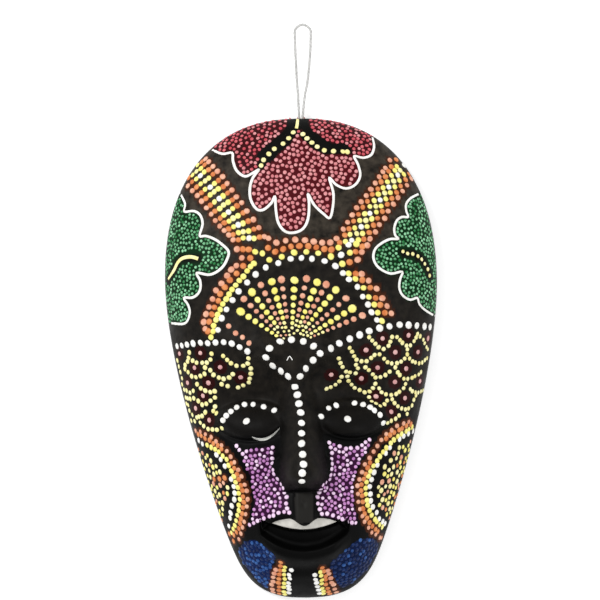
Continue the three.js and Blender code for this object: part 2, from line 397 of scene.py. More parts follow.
# %% Brows and nose
BROW = Form(start=12, length=48, inner_y=3, rise=9, below=5.5, above=9, height=3, fade_in=14, fade=0.7)
NOSE_ROOT = Form(point_y=-16.5, half_width=18, soft=3.5, height=3.2, low=(-15, -7), high=(4, 18))
NOSE_LEAN = Form(x=-3.5, ramp=(-45, 0))
NOSE = Form(root_y=-4, fade=10, length=55, half_width=8, swell=4, height=3.5, rise=12, growth=1.2)
NOSE_ROUNDNESS = 0.5
NOSE_TIP = Form(y=-55.5, fall=10.5, base_y=-66)
WING = Form(x=8.6, y=-55.5, spread=6, height=4.2, fade=4)
WING_CREASE = Form(radius=7.4, spread=1.2, depth=0.8, outer=(9, 12))
NOSTRIL = Form(x=5.6, y=-63.6, spread=2.4, flatness=1.3, depth=2.4)


def brow_relief(x, y):
    along = np.clip((np.abs(x) - BROW.start) / BROW.length, 0, 1)
    crest = BROW.inner_y + BROW.rise * np.sin(along * math.pi / 2)
    fade = step(0, BROW.fade_in, np.abs(x)) * (1 - BROW.fade * along)
    return BROW.height * fade * bell(y - crest, np.where(y < crest, BROW.below, BROW.above))


def from_ridge(x, y):
    """The distance from the ridge of the nose, which leans a little at its root."""
    return np.abs(x - NOSE_LEAN.x * step(*NOSE_LEAN.ramp, y))


def down_nose(y):
    return np.clip((NOSE.root_y - y) / NOSE.length, 0, 1)


def nose_relief(x, y):
    across = from_ridge(x, y)
    root_half = np.clip(y - NOSE_ROOT.point_y, 0, NOSE_ROOT.half_width)
    root_ends = step(*NOSE_ROOT.low, y) * (1 - step(*NOSE_ROOT.high, y))
    root = NOSE_ROOT.height * step(-NOSE_ROOT.soft, NOSE_ROOT.soft, root_half - across) * root_ends
    down = down_nose(y)
    t = np.clip(across / (NOSE.half_width + NOSE.swell * down), 0, 1)
    flat = NOSE_ROUNDNESS
    ridge = 1 - (np.hypot(t, flat) - flat) / (math.hypot(1, flat) - flat)
    profile = NOSE.height + NOSE.rise * down ** NOSE.growth
    tip = np.sqrt(1 - np.clip((NOSE_TIP.y - y) / NOSE_TIP.fall, 0, 1) ** 2)
    ends = tip * (1 - step(NOSE.root_y, NOSE.root_y + NOSE.fade, y))
    from_wing = np.hypot(across - WING.x, y - WING.y)
    wing_base = step(NOSE_TIP.base_y, NOSE_TIP.base_y + WING.fade, y)
    wings = WING.height * bell(from_wing, WING.spread) * wing_base
    crease_line = bell(from_wing - WING_CREASE.radius, WING_CREASE.spread)
    crease_line *= step(*WING_CREASE.outer, across)
    from_nostril = np.hypot(across - NOSTRIL.x, (y - NOSTRIL.y) * NOSTRIL.flatness)
    cuts = WING_CREASE.depth * crease_line + NOSTRIL.depth * bell(from_nostril, NOSTRIL.spread)
    return root + profile * ridge * ends + wings - cuts


print("nose: rises", round(float(nose_relief(0.0, NOSE_TIP.y)), 1), "mm over the dome")

# %% [markdown]
# The eyes are almond swellings in a hollow socket. A ball set into the wood would look like glass, so
# the swelling is part of the carving, with a raised lid above it and a fine groove below.

# %% Eyes
SOCKET = Form(x=22, y=-19, spread_x=17, spread_y=12, depth=8.5)
EYE = Form(x=25.2, y=-31, half_length=15, half_height=8.75, height=4.4, fullness=0.6)
UPPER_LID = Form(edge=(1.03, 1.32), height=2.3, ramp=(-5, 3))
UNDER_LID = Form(at=1.1, spread=0.09, depth=0.9, ramp=(-6, 0))


def eye_relief(x, y):
    u = np.abs(x) - EYE.x
    v = y - EYE.y
    socket = bell(np.abs(x) - SOCKET.x, SOCKET.spread_x) * bell(y - SOCKET.y, SOCKET.spread_y)
    lid = np.hypot(u / EYE.half_length, v / EYE.half_height)
    ball = EYE.height * np.clip(1 - lid ** 2, 0, 1) ** EYE.fullness
    upper_lid = UPPER_LID.height * (1 - step(*UPPER_LID.edge, lid)) * step(*UPPER_LID.ramp, v)
    under = UNDER_LID.depth * bell(lid - UNDER_LID.at, UNDER_LID.spread) * (1 - step(*UNDER_LID.ramp, v))
    return np.maximum(ball, upper_lid) - under - SOCKET.depth * socket


print("eyes:", 2 * EYE.half_length, "mm long, in sockets", SOCKET.depth, "mm deep")

# %% [markdown]
# The mouth is cut as one opening. Its upper edge is a bow that dips to a point in the middle, a flat
# row of teeth lies just behind it, and the dark space under the teeth runs out to the lower lip. The
# edges are kept as functions of their own, because the paint of the teeth follows them later.

# %% Edges of the mouth
MOUTH = Form(half_width=22.5, corner_y=-87.5, drop=9, depth=6.5)
LIP_BOW = Form(peak=8.4, squareness=4, dip=3.9, dip_half=7.5)
TEETH = Form(y=-85.1, rise=2.6, rise_x=14, depth=2.4)


def lip_bow(x):
    """The upper edge of the opening."""
    across = np.clip(np.abs(x) / MOUTH.half_width, 0, 1)
    point = LIP_BOW.dip * (1 - step(0, LIP_BOW.dip_half, np.abs(x)))
    return MOUTH.corner_y + LIP_BOW.peak * (1 - across ** LIP_BOW.squareness) - point


def teeth_edge(x):
    """The lower edge of the row of teeth."""
    return TEETH.y + TEETH.rise * (x / TEETH.rise_x) ** 2


def lower_edge(x):
    across = np.clip(np.abs(x) / MOUTH.half_width, 0, 1)
    return MOUTH.corner_y - MOUTH.drop * (1 - across ** 2)


print("mouth: the teeth show for", round(float(lip_bow(0.0) - teeth_edge(0.0)), 1), "mm in the middle")

# %% [markdown]
# Round the mouth the wood swells to a muzzle, and a flat block leads down to it from the nose. Cheek
# bones and folds beside the nose are round hills and dips. The opening is cut with short ramps instead
# of a boolean, because the mesh then keeps its even faces.

# %% Cheeks, lips and chin
CHEEK = Form(x=31, y=-52, spread=13, height=2.4)
CHEEK_FOLD = Form(x=17, y=-60, spread=10, depth=2.6)
MUZZLE = Form(y=-86, spread_x=23, spread_y=17, height=6.5)
PHILTRUM = Form(top=(-68, -64), bottom=(-85, -82), half_width=4.6, soft=1.6, height=1.6)
LIP_PIT = Form(x=-0.4, y=-72, stretch=1.6, spread=1.1, depth=0.9)
LOWER_LIP = Form(y=-100, sag=9, spread=4.2, height=3, ends=(0.6, 1.1))
CUT = Form(corners=(0, 0.04), bow=(-0.2, 0.5), teeth=(0.5, 1.2), teeth_floor=(-0.2, 3), deep_floor=(0, 5))
CHIN = Form(top=-102, bottom=-110, half_width=8.5, soft=2, height=1.8)


def cheek_relief(x, y):
    bone = bell(np.hypot(np.abs(x) - CHEEK.x, y - CHEEK.y), CHEEK.spread)
    fold = bell(np.hypot(np.abs(x) - CHEEK_FOLD.x, y - CHEEK_FOLD.y), CHEEK_FOLD.spread)
    return CHEEK.height * bone - CHEEK_FOLD.depth * fold


def upper_lip_relief(x, y):
    """The swelling round the mouth, with the flat block under the nose and the pit in it."""
    muzzle = MUZZLE.height * bell(x, MUZZLE.spread_x) * bell(y - MUZZLE.y, MUZZLE.spread_y)
    block = step(-PHILTRUM.soft, PHILTRUM.soft, PHILTRUM.half_width - np.abs(x))
    block *= step(*PHILTRUM.bottom, y) * (1 - step(*PHILTRUM.top, y))
    pit = LIP_PIT.depth * bell(np.hypot(x - LIP_PIT.x, (y - LIP_PIT.y) / LIP_PIT.stretch), LIP_PIT.spread)
    return muzzle + PHILTRUM.height * block - pit


def mouth_relief(x, y):
    across = np.abs(x) / MOUTH.half_width
    lip_line = LOWER_LIP.y + LOWER_LIP.sag * across ** 2
    lip_ends = 1 - step(*LOWER_LIP.ends, across)
    lip_roll = LOWER_LIP.height * bell(y - lip_line, LOWER_LIP.spread) * lip_ends
    between_corners = step(*CUT.corners, 1 - across)
    above_lip = y - lower_edge(x)
    behind_bow = step(*CUT.bow, lip_bow(x) - y) * step(*CUT.teeth_floor, above_lip) * between_corners
    under_teeth = step(*CUT.teeth, teeth_edge(x) - y) * step(*CUT.deep_floor, above_lip) * between_corners
    depth = TEETH.depth * behind_bow + (MOUTH.depth - TEETH.depth) * under_teeth
    return upper_lip_relief(x, y) + lip_roll * (1 - behind_bow) - depth


def chin_relief(x, y):
    within = step(-CHIN.soft, CHIN.soft, CHIN.half_width - np.abs(x))
    return CHIN.height * within * (1 - step(CHIN.bottom, CHIN.top, y))


print("lips: the muzzle swells", MUZZLE.height, "mm and the opening is cut", MOUTH.depth, "mm deep")

# %% [markdown]
# The front is a dome that falls to an upright edge all round, and the face is cut into it. A knife
# leaves a surface that is never quite even, so a slow ripple of a tenth of a millimetre is added. A
# bump in the material would be cheaper, but it would not move the drops of paint that sit on the wood.
# Only points that look up, above the upright edge, are moved to the carved heights. The hollow gets
# long shallow gouge marks instead.

# %% Carve the front and the hollow
DOME = 31
DOME_FULLNESS = (2.3, 0.56)
RELIEF_ENDS = 0.86
RIPPLE_HEIGHT = 0.1
RIPPLE_ACROSS = Form(wave=2.3, sway=1.7, sway_wave=5.1)
RIPPLE_ALONG = Form(wave=3.1, sway=1.3, sway_wave=4.7)
GOUGE = Form(width=7.5, depth=0.9, drift=3, drift_wave=17, wobble=1.5, wobble_y=6.3, wobble_x=9)
GOUGE_LENGTH = Form(middle=0.6, swing=0.4, wave=8.5, shift=2)
LOOKS_UP = 0.02
LOOKS_DOWN = -0.1
ABOVE_EDGE = EDGE + 0.2
RIM_KEPT = 1.5
GOUGES_FULL = 6


def swaying_wave(along, beside, form):
    return np.sin(along / form.wave + form.sway * np.sin(beside / form.sway_wave))


def knife_ripple(x, y):
    return RIPPLE_HEIGHT * swaying_wave(x, y, RIPPLE_ACROSS) * swaying_wave(y, x, RIPPLE_ALONG)


def front_height(x, y):
    share = outline_share(x, y)
    dome = DOME * (1 - share ** DOME_FULLNESS[0]) ** DOME_FULLNESS[1]
    forms = (brow_relief, nose_relief, eye_relief, cheek_relief, mouth_relief, chin_relief)
    relief = sum(form(x - FACE_X, y) for form in forms) + knife_ripple(x, y)
    return EDGE + dome + relief * (1 - step(RELIEF_ENDS, 1, share))


def gouge_marks(x, y):
    wobble = GOUGE.wobble * np.sin(y / GOUGE.wobble_y + x / GOUGE.wobble_x)
    drift = GOUGE.drift * np.sin(y / GOUGE.drift_wave) + wobble
    ridge = 1 - np.abs(np.sin(math.pi * (x + drift) / GOUGE.width))
    row = np.round((x + drift) / GOUGE.width)
    swing = np.sin(y / GOUGE_LENGTH.wave + GOUGE_LENGTH.shift * row)
    return GOUGE.depth * ridge * (GOUGE_LENGTH.middle + GOUGE_LENGTH.swing * swing)


count = len(mask_mesh.vertices)
places = np.empty(count * 3)
normals = np.empty(count * 3)
mask_mesh.vertices.foreach_get("co", places)
mask_mesh.vertices.foreach_get("normal", normals)
places = places.reshape(-1, 3) / MM
normals = normals.reshape(-1, 3)
front = (normals[:, 2] > LOOKS_UP) & (places[:, 2] > ABOVE_EDGE)
hollow = (normals[:, 2] < LOOKS_DOWN) & (places[:, 2] > RIM_KEPT)
places[front, 2] = front_height(places[front, 0], places[front, 1])
marks = gouge_marks(places[hollow, 0], places[hollow, 1])
places[hollow, 2] -= marks * step(RIM_KEPT, GOUGES_FULL, places[hollow, 2])
mask_mesh.vertices.foreach_set("co", (places * MM).ravel())
mask_mesh.update()
print("carved", int(front.sum()), "front and", int(hollow.sum()), "hollow points; nose at",
      round(places[:, 2].max(), 1), "mm")

# %% [markdown]
# ## Places on the surface
#
# Every drop of paint has to sit on the wood. A Shrinkwrap modifier could pull drops onto it, but it
# would bend them. Instead a search tree of the carved mesh answers the question "what lies straight
# below this place?", and returns the point and the direction of the surface there. A second, coarse
# table remembers where paint already is, so that no drop lands on another.

# %% Find the surface and keep room between drops
surface_mesh = bmesh.new()
surface_mesh.from_mesh(mask_mesh)
surface = BVHTree.FromBMesh(surface_mesh)
surface_mesh.free()
DOWN = Vector((0, 0, -1))
LOOK_FROM = 0.1
CELL = 5 * MM
NEIGHBOURS = [(i, j, k) for i in (-1, 0, 1) for j in (-1, 0, 1) for k in (-1, 0, 1)]
taken = {}


def on_surface(x, y):
    """The point of the mask's front above a place in millimetres, and the surface's direction there."""
    point, normal, _, _ = surface.ray_cast(Vector((x * MM, y * MM, LOOK_FROM)), DOWN)
    return point, normal


def has_room(point, size, room):
    cell = [math.floor(c / CELL) for c in point]
    for i, j, k in NEIGHBOURS:
        for other, other_size in taken.get((cell[0] + i, cell[1] + j, cell[2] + k), ()):
            if (point - other).length < room * (size + other_size) / 2 * MM:
                return False
    return True


def claim(point, size):
    cell = tuple(math.floor(c / CELL) for c in point)
    taken.setdefault(cell, []).append((point, size))


print("surface: the forehead is", round(on_surface(0, 60)[0].z / MM, 1), "mm high")

# %% [markdown]
# ## Rows and fields of dots
#
# The painter works with a round stick: each touch leaves one low drop, and no two are quite alike. A
# dot texture would be quicker, but it would be flat and regular. `drop` notes one touch, and the meshes
# are made when all are known. Several tints come from one pot: salmon is orange with some white in it,
# and cream is pale yellow.

# %% Touches of paint
PAINT_POTS = {
    "white": "white_paint", "yellow": "yellow_paint", "cream": "yellow_paint", "orange": "orange_paint",
    "salmon": "orange_paint", "red": "red_paint", "crimson": "red_paint", "rose": "red_paint",
    "green": "green_paint", "violet": "violet_paint", "lilac": "violet_paint", "blue": "blue_paint",
    "navy": "blue_paint",
}
SEED = 4
STEEPEST = 0.12
TOUCH_SIZES = (0.92, 1.08)
ROOM = 0.8
hand = random.Random(SEED)
drops = {paint: [] for paint in PAINT_POTS}


def drop(x, y, paint, size, room=ROOM):
    """Set one touch, unless it would be off the mask, on a wall or on other paint."""
    point, normal = on_surface(x, y)
    if point is None or normal.z < STEEPEST:
        return
    size *= hand.uniform(*TOUCH_SIZES)
    if has_room(point, size, room):
        claim(point, size)
        drops[paint].append((point, normal, size))


print("paints:", len(PAINT_POTS), "tints from", len(set(PAINT_POTS.values())), "pots")

# %% [markdown]
# Rows of dots follow a line. A curve with an array of drops would keep the distance as seen from above,
# and the dots would spread out on steep wood. So the line is laid on the surface first, and the touches
# are set at a steady distance along it, each a little off, as by hand.

# %% Rows of dots
ROW_ROOM = 0.7
CLOSE_ROOM = 0.6
ROW_STEPS = 16


def lifted(line):
    """A flat line in millimetres laid on the surface, as points in metres, without what is off the mask."""
    points = [on_surface(p[0], p[1])[0] for p in line]
    return [p for p in points if p is not None]


def steps_along(points, pitch):
    """Places in millimetres along a curve, a fixed distance apart on the surface."""
    line = lifted(smooth_line([(x, y, 0) for x, y in points], ROW_STEPS))
    return [(place.x / MM, place.y / MM) for place in evenly(line, pitch * MM)]


def dot_row(points, paint, size, pitch, shake=0.2, room=ROW_ROOM):
    for x, y in steps_along(points, pitch):
        drop(x + hand.gauss(0, shake), y + hand.gauss(0, shake), paint, size, room)


def dots_at(points, paint, size):
    for x, y in points:
        drop(x, y, paint, size, CLOSE_ROOM)


forehead_row = steps_along([(-40, 60), (0, 64), (40, 60)], 4)
print("a row of dots 4 mm apart over the forehead has", len(forehead_row), "places")

# %% [markdown]
# A field of dots fills an area. A grid would look printed and pure chance would pile dots up, so many
# places are tried by chance and a touch is set only where there is still room.

# %% Fields of dots
FIELD_TRIES = 40
dice = np.random.default_rng(SEED)


def inside(outline, x, y):
    """Which of the places lie inside a closed outline."""
    corners = np.array(outline)
    result = np.zeros(np.shape(x), bool)
    for (x0, y0), (x1, y1) in zip(corners, np.roll(corners, -1, axis=0)):
        crosses = (y0 > y) != (y1 > y)
        rise = y1 - y0 if y1 != y0 else 1
        result ^= crosses & (x < x0 + (x1 - x0) * (y - y0) / rise)
    return result


def dot_field(outline, paints, size, pitch):
    """Fill an outline with dots. Each takes one of the tints by chance."""
    corners = np.array(outline)
    low = corners.min(axis=0)
    high = corners.max(axis=0)
    tries = int(FIELD_TRIES * np.prod(high - low) / pitch ** 2)
    x, y = dice.uniform(low, high, (tries, 2)).T
    here = inside(outline, x, y)
    for place in zip(x[here], y[here]):
        drop(*place, hand.choice(paints), size, pitch / size)


print("a field tries", FIELD_TRIES, "places for each square of its pitch")

# %% [markdown]
# ## The face in white dots
#
# The white dots draw the face: a line over each brow, a loop and a V at the root of the nose, a stem
# down its ridge, the lids and the pupils. A row at a steady distance is right for the brows, but the
# others were set one by one, so each has a place of its own. They are the largest touches, so they
# come first.

# %% White dots of the face
LOOP_DOTS = [(-16.4, 5.4), (-11, 8.7), (-5.4, 9.5), (0.5, 8.5), (5.5, 6)]
V_DOTS = [
    (-18.3, 0.9), (-15, -3.4), (-11, -6.1), (-7.5, -8.8),
    (8.7, 2.3), (5.1, -1), (1.5, -5), (-1.5, -8.9),
]
PUPILS = [(-28.7, -30.6), (21.7, -30.6)]
NOSE_STEM = [
    (-4.2, -14.1), (-3.1, -18), (-2.4, -22.4), (-1.6, -26.8), (-1.3, -32), (-1.4, -37.1),
    (-1.5, -42.2), (-1.1, -47.6), (-0.8, -52.5), (-1.5, -56.8), (-1.8, -61),
]
LID_LEFT = [
    (-40.4, -30), (-38.7, -27.7), (-36.3, -25.7), (-33.4, -23.7),
    (-29.5, -22.3), (-25.2, -22.4), (-20, -23.7), (-14.8, -25.5),
]
LID_RIGHT = [
    (8.5, -29.1), (12.4, -25), (16.2, -23.8), (25.3, -22.9),
    (29.5, -23.8), (33, -25.2), (35.1, -26.8), (37.9, -29), (39.4, -33.2),
]
BROW_LEFT = [(-62.5, 7.3), (-55, 8.5), (-47, 8.7), (-39.3, 9), (-31.7, 6.3), (-23.8, 2.1)]
BROW_RIGHT = [(13.8, 5), (24.3, 9.7), (35.3, 13.3), (45.5, 15.2), (54.5, 15.2), (65, 14)]
FACE_DOTS = ((LOOP_DOTS, 4), (V_DOTS, 3.8), (PUPILS, 4), (NOSE_STEM, 3.7), (LID_LEFT + LID_RIGHT, 3.1))
BROW_ROWS = ((BROW_LEFT, 3.4, 4.4), (BROW_RIGHT, 3.7, 5.5))

for dots, size in FACE_DOTS:
    dots_at(dots, "white", size)
for row, size, pitch in BROW_ROWS:
    dot_row(row, "white", size, pitch)
print("white dots of the face:", len(drops["white"]))

# %% [markdown]
# ## The arch and the bands on the forehead
#
# An arch spans the forehead. Its rows go from white and yellow on the inner side to orange and salmon
# outside, and they are too uneven for a formula, so most of its dots are set one by one. The left leg
# has a streak of yellow dots that touch, which is one row. The right leg is regular: it is built of
# bars, short strings of dots across it, and `bar` sets one such string.

# %% Arch
ARCH_DOTS = {
    "white": [
        (-41.9, 15.1), (-39.9, 20.9), (-37.4, 25.2), (-34.3, 29.8), (-31.2, 34.1), (-26.8, 38.4),
        (-22.5, 42.3), (-17.4, 45.7), (-11.1, 47.7), (-4.9, 49.7), (0.5, 50), (5.7, 49.5), (12, 48.2),
        (17.3, 45.6), (20.3, 51.1), (24.1, 56.1), (37.4, 18.3),
    ],
    "yellow": [
        (-22.5, 53.6), (-18.9, 52.7), (-15.5, 49.4), (-9.3, 50.8), (-3.1, 52.8), (3, 53), (8.9, 52.2),
        (15.2, 50.4), (19.1, 54.8), (28, 56.4), (24.7, 52.1), (20.8, 46.6), (39.8, 17.8),
    ],
    "orange": [
        (-46.9, 14.6), (-46.2, 19.3), (-44.7, 22.9), (-43.4, 26.4), (-41.4, 29.6), (-40.4, 33),
        (-38, 36.3), (-35.4, 39.8), (-32, 43), (-28.6, 46.7), (-25, 50.5), (-28.6, 55), (-25.7, 54.8),
        (-16, 55.4), (-12.5, 53.4), (-8.5, 54.6), (-4.6, 55.8), (-0.4, 56), (4, 55.8), (8, 55.1),
        (12, 54.2), (15.5, 53.8), (31, 55), (27.6, 52.5), (24.4, 47.4),
    ],
    "salmon": [
        (-48.3, 15.8), (-48.9, 19.2), (-47.7, 23.1), (-46.1, 26.6), (-44.2, 30.5), (-42.4, 34.8),
        (-39.6, 38.2), (-36.7, 42), (-34.6, 45), (-32, 46.9), (-29.2, 50.7), (-31.5, 55.1), (-15.7, 60.2),
        (-11.8, 57.9), (-7.2, 58.8), (-2.4, 59.2), (2.4, 58.8), (6.8, 58), (11, 57.4), (15, 57.4),
        (18.2, 59.3), (33.4, 55.6), (30.6, 52.3), (28.5, 48.5),
    ],
}
ARCH_DOT = 3.3
LEG_STREAK = [
    (-45.5, 11.8), (-44.2, 15), (-43.4, 18), (-42.5, 21.2), (-41, 24.6), (-38.8, 28), (-36.6, 31.5),
    (-34.8, 35), (-32, 38.3), (-28, 42.4), (-24.9, 46.3), (-21, 49.2),
]
STREAK_DOT = 3.1
STREAK_PITCH = 2.9
LEG_BARS = [(20.9, 42), (24.1, 39), (27.9, 34.8), (30.7, 29.9), (33, 26.3), (34.9, 22.4)]
LEG_PAINTS = ("white", "yellow", "orange", "salmon")
LEG_BAR = Form(angle=-5, gap=3.2, size=3.2)
BAR_SHAKE = 0.15


def bar(x, y, form, paints, first=0):
    """A string of dots from a place, in a direction in degrees. The dot numbered first is at the place."""
    along = Vector((math.cos(math.radians(form.angle)), math.sin(math.radians(form.angle))))
    for number, paint in enumerate(paints):
        place = Vector((x, y)) + along * form.gap * (number - first)
        dot_x = place.x + hand.gauss(0, BAR_SHAKE)
        dot_y = place.y + hand.gauss(0, BAR_SHAKE)
        drop(dot_x, dot_y, paint, form.size, CLOSE_ROOM)


for paint, dots in ARCH_DOTS.items():
    dots_at(dots, paint, ARCH_DOT)
dot_row(LEG_STREAK, "yellow", STREAK_DOT, STREAK_PITCH, room=CLOSE_ROOM)
for x, y in LEG_BARS:
    bar(x, y, LEG_BAR, LEG_PAINTS)
print("arch:", len(drops["orange"]), "orange and", len(drops["salmon"]), "salmon dots")

# %% [markdown]
# Two bands run from the shoulders of the arch to the edge of the mask. They are regular: bars of seven
# dots, salmon, orange and yellow from both sides and a pale dot in the middle, lie across a line at a
# steady distance. The middle dot is white in every second bar and cream in the others. On the left band
# the bars turn slowly towards the arch, and a short bar closes the end of the right one.

# %% Bands
BAND_LEFT = [(-55, 98.8), (-45, 87.5), (-39.7, 80), (-34.5, 72.5), (-29, 65), (-24, 58.6)]
BAND_RIGHT = [(55.5, 99), (46.5, 86.5), (40.5, 78.5), (34.5, 70.3), (29, 62.5), (25.5, 57.8)]
BAND_SIDE = ("salmon", "orange", "yellow")
MIDDLE_DOT = len(BAND_SIDE)
BAR_PITCH = 4.3
LEFT_ANGLE = 38
TURN_ALONG = 8
TURN_AT_END = 26
END_STARTS = 0.7
END_LENGTH = 0.3
RIGHT_BAR = Form(angle=5, gap=3.05, size=2.85)
SHORT_BAR = (45.9, 97.9)


def band_paints(number):
    """The paints across a band. Its middle dot is white in every second bar and cream in the others."""
    middle = "cream" if number % 2 else "white"
    return BAND_SIDE + (middle,) + BAND_SIDE[::-1]


left_steps = steps_along(BAND_LEFT, BAR_PITCH)
for number, (x, y) in enumerate(left_steps):
    share = number / (len(left_steps) - 1)
    angle = LEFT_ANGLE - TURN_ALONG * share - TURN_AT_END * max(0, share - END_STARTS) / END_LENGTH
    bar(x, y, Form(angle=angle, gap=2.6, size=3), band_paints(number), MIDDLE_DOT)
bar(*SHORT_BAR, RIGHT_BAR, BAND_SIDE[:2])
for number, (x, y) in enumerate(steps_along(BAND_RIGHT, BAR_PITCH)):
    bar(x, y, RIGHT_BAR, band_paints(number), MIDDLE_DOT)
warm_dots = drops["orange"] + drops["salmon"]
print("arch and bands:", len(warm_dots), "orange and salmon dots")

# %% [markdown]
# Inside the arch a fan of rays spreads from the root of the nose. Yellow and salmon rays take turns,
# and the touches shrink towards the middle of the fan. A loop walks down each ray from its outer end,
# with the size of each touch and a gap that grows with it. Near the middle only every third touch keeps
# the tint of its ray, and the others are cream.

# %% Fan
FAN_MIDDLE = Vector((-5.6, 6.5))
FAN_ENDS = [
    (-30.3, 24), (-28.6, 30.2), (-24.5, 33.5), (-20, 37), (-14.5, 38.5), (-9.7, 39.5), (-3.2, 39),
    (2.8, 39.6), (8, 37.7), (12.5, 36.5), (17.2, 33.7), (22.2, 29.4), (25.2, 24.2), (30.2, 20.7),
]
FAN_SIZES = (4.3, 3.4, 3.2, 2.9, 2.6, 2.3, 2, 1.8, 1.7, 1.6)
FAN_PITCH = 1.22
FAN_INNER = 5
SLIM_RAY = 0.86
PALE_FROM = 6
PALE_ROOM = 1
TINT_KEPT_EVERY = 3
FAN_ROW = [(-36.5, 16.9), (-33.1, 13.3), (-29.7, 11.2), (-26.5, 8.2)]
FAN_ROW_DOT = 2.9

for ray, end in enumerate(FAN_ENDS):
    place = Vector(end)
    inward = (FAN_MIDDLE - place).normalized()
    paint = "yellow" if ray % 2 == 0 else "salmon"
    for number, (size, next_size) in enumerate(zip(FAN_SIZES, FAN_SIZES[1:] + FAN_SIZES[-1:])):
        if (place - FAN_MIDDLE).length < FAN_INNER:
            break
        width = size if paint == "yellow" else size * SLIM_RAY
        inner = number >= PALE_FROM
        tint = "cream" if inner and (number + ray) % TINT_KEPT_EVERY else paint
        drop(place.x, place.y, tint, width, PALE_ROOM if inner else ROOM)
        place = place + inward * (size + next_size) / 2 * FAN_PITCH
dots_at(FAN_ROW, "salmon", FAN_ROW_DOT)
print("fan:", len(FAN_ENDS), "rays")

# %% [markdown]
# ## The leaves
#
# Three lobed leaves grow from the edge: a red one at the crown and a green one at each side. A white
# line is drawn round each, with a point of the list at the tip and the sides of every lobe and a curve
# between. A small white chevron between the brows is drawn in the same way. The lines are noted first,
# so that the dots keep clear of them.

# %% Leaf outlines
RED_LEAF = [
    (-44.5, 106), (-38, 103), (-33, 103.4), (-32.6, 99.3), (-30.8, 94.3), (-26.8, 91.4), (-22.8, 93),
    (-19.7, 94.6), (-22.8, 90.6), (-24.4, 85.6), (-24.1, 79.6), (-21.2, 74.8), (-17.7, 74.6),
    (-13.8, 77.9), (-12, 81), (-11.7, 74.4), (-10.6, 67.8), (-7.4, 63.5), (-3, 62.7), (1.6, 64.6),
    (4.2, 69.5), (4.9, 77), (4.5, 82), (7.4, 76.4), (12, 71.8), (15.2, 69.8), (16.9, 76.7), (17, 82.7),
    (15.2, 89.8), (18.6, 86.2), (23.5, 84.2), (28.1, 86), (30.7, 90.4), (29.8, 95.9), (27.9, 100.3),
    (32.4, 99.4), (36.4, 100.8), (38, 104.8), (37.4, 109.5),
]
GREEN_LEAF_LEFT = [
    (-59.5, 84), (-57, 78.5), (-57.5, 74.6), (-52.7, 74.7), (-49.5, 72.5), (-48.4, 68), (-50, 62.3),
    (-47, 62.1), (-43, 60.6), (-39.3, 58), (-35.7, 54), (-36.9, 49.5), (-39.3, 46), (-42.9, 43.5),
    (-46.4, 42.7), (-51.9, 43.7), (-50.3, 40), (-50.2, 36), (-51.8, 33), (-54.7, 31.4), (-58.7, 31.4),
    (-56.6, 28), (-55.8, 24), (-57.2, 19.8), (-60, 18.4), (-67, 19.2),
]
GREEN_LEAF_RIGHT = [
    (61, 81.3), (55.9, 78.8), (53.4, 75.9), (53.3, 72.4), (54.2, 69.4), (51.2, 69.4), (48.6, 67.8),
    (47.1, 64), (47.5, 60.3), (49, 58.5), (45, 58.5), (40.9, 56.7), (37.4, 53.8), (36.3, 49.8),
    (37.4, 46.2), (40.2, 43.3), (45, 41.2), (50.6, 42), (49.3, 38), (49, 33.5), (50.8, 30),
    (54.3, 28), (57.8, 28.8), (58.9, 25.6), (61.8, 22.6), (66.5, 19.6),
]
leaf_areas = {
    "red": RED_LEAF + [(36.5, 125), (-45, 125)],
    "green_left": GREEN_LEAF_LEFT + [(-80, 19), (-80, 84)],
    "green_right": GREEN_LEAF_RIGHT + [(80, 19), (80, 82)],
}
BROW_MARK = [(-7.9, -0.8), (-6.5, 1.2), (-5.1, -0.7)]
LEAF_LINE = 1.4
BROW_MARK_LINE = 0.5
LOBE_STEPS = 4
STROKE_STEP = 0.9
strokes = []


def rounded(outline):
    """The same outline with its lobes drawn as curves."""
    return [(p.x, p.y) for p in smooth_line([(x, y, 0) for x, y in outline], LOBE_STEPS)]


def draw(points, width, paint):
    """Note one drawn line. It also keeps the dots off itself."""
    line = lifted(rounded(points))
    strokes.append((line, width, paint))
    for place in evenly(line, STROKE_STEP * MM):
        claim(place, width)


for leaf in (RED_LEAF, GREEN_LEAF_LEFT, GREEN_LEAF_RIGHT):
    draw(leaf, LEAF_LINE, "white")
draw(BROW_MARK, BROW_MARK_LINE, "white")
print("drawn white lines:", len(strokes))

# %% [markdown]
# The veins are cream. Two rows of dots leave a short drawn stem on the red leaf, and the green leaves
# have one vein each, drawn on the left and dotted on the right. The ground beside a vein stays black,
# so its places are claimed with a margin before the fine dots come. Beside the red veins the black is
# wider, so lines of it are listed too. A mask of the area would do the same, but the table of taken
# places is there already. The corners of the red leaf, outside the veins, have darker dots.

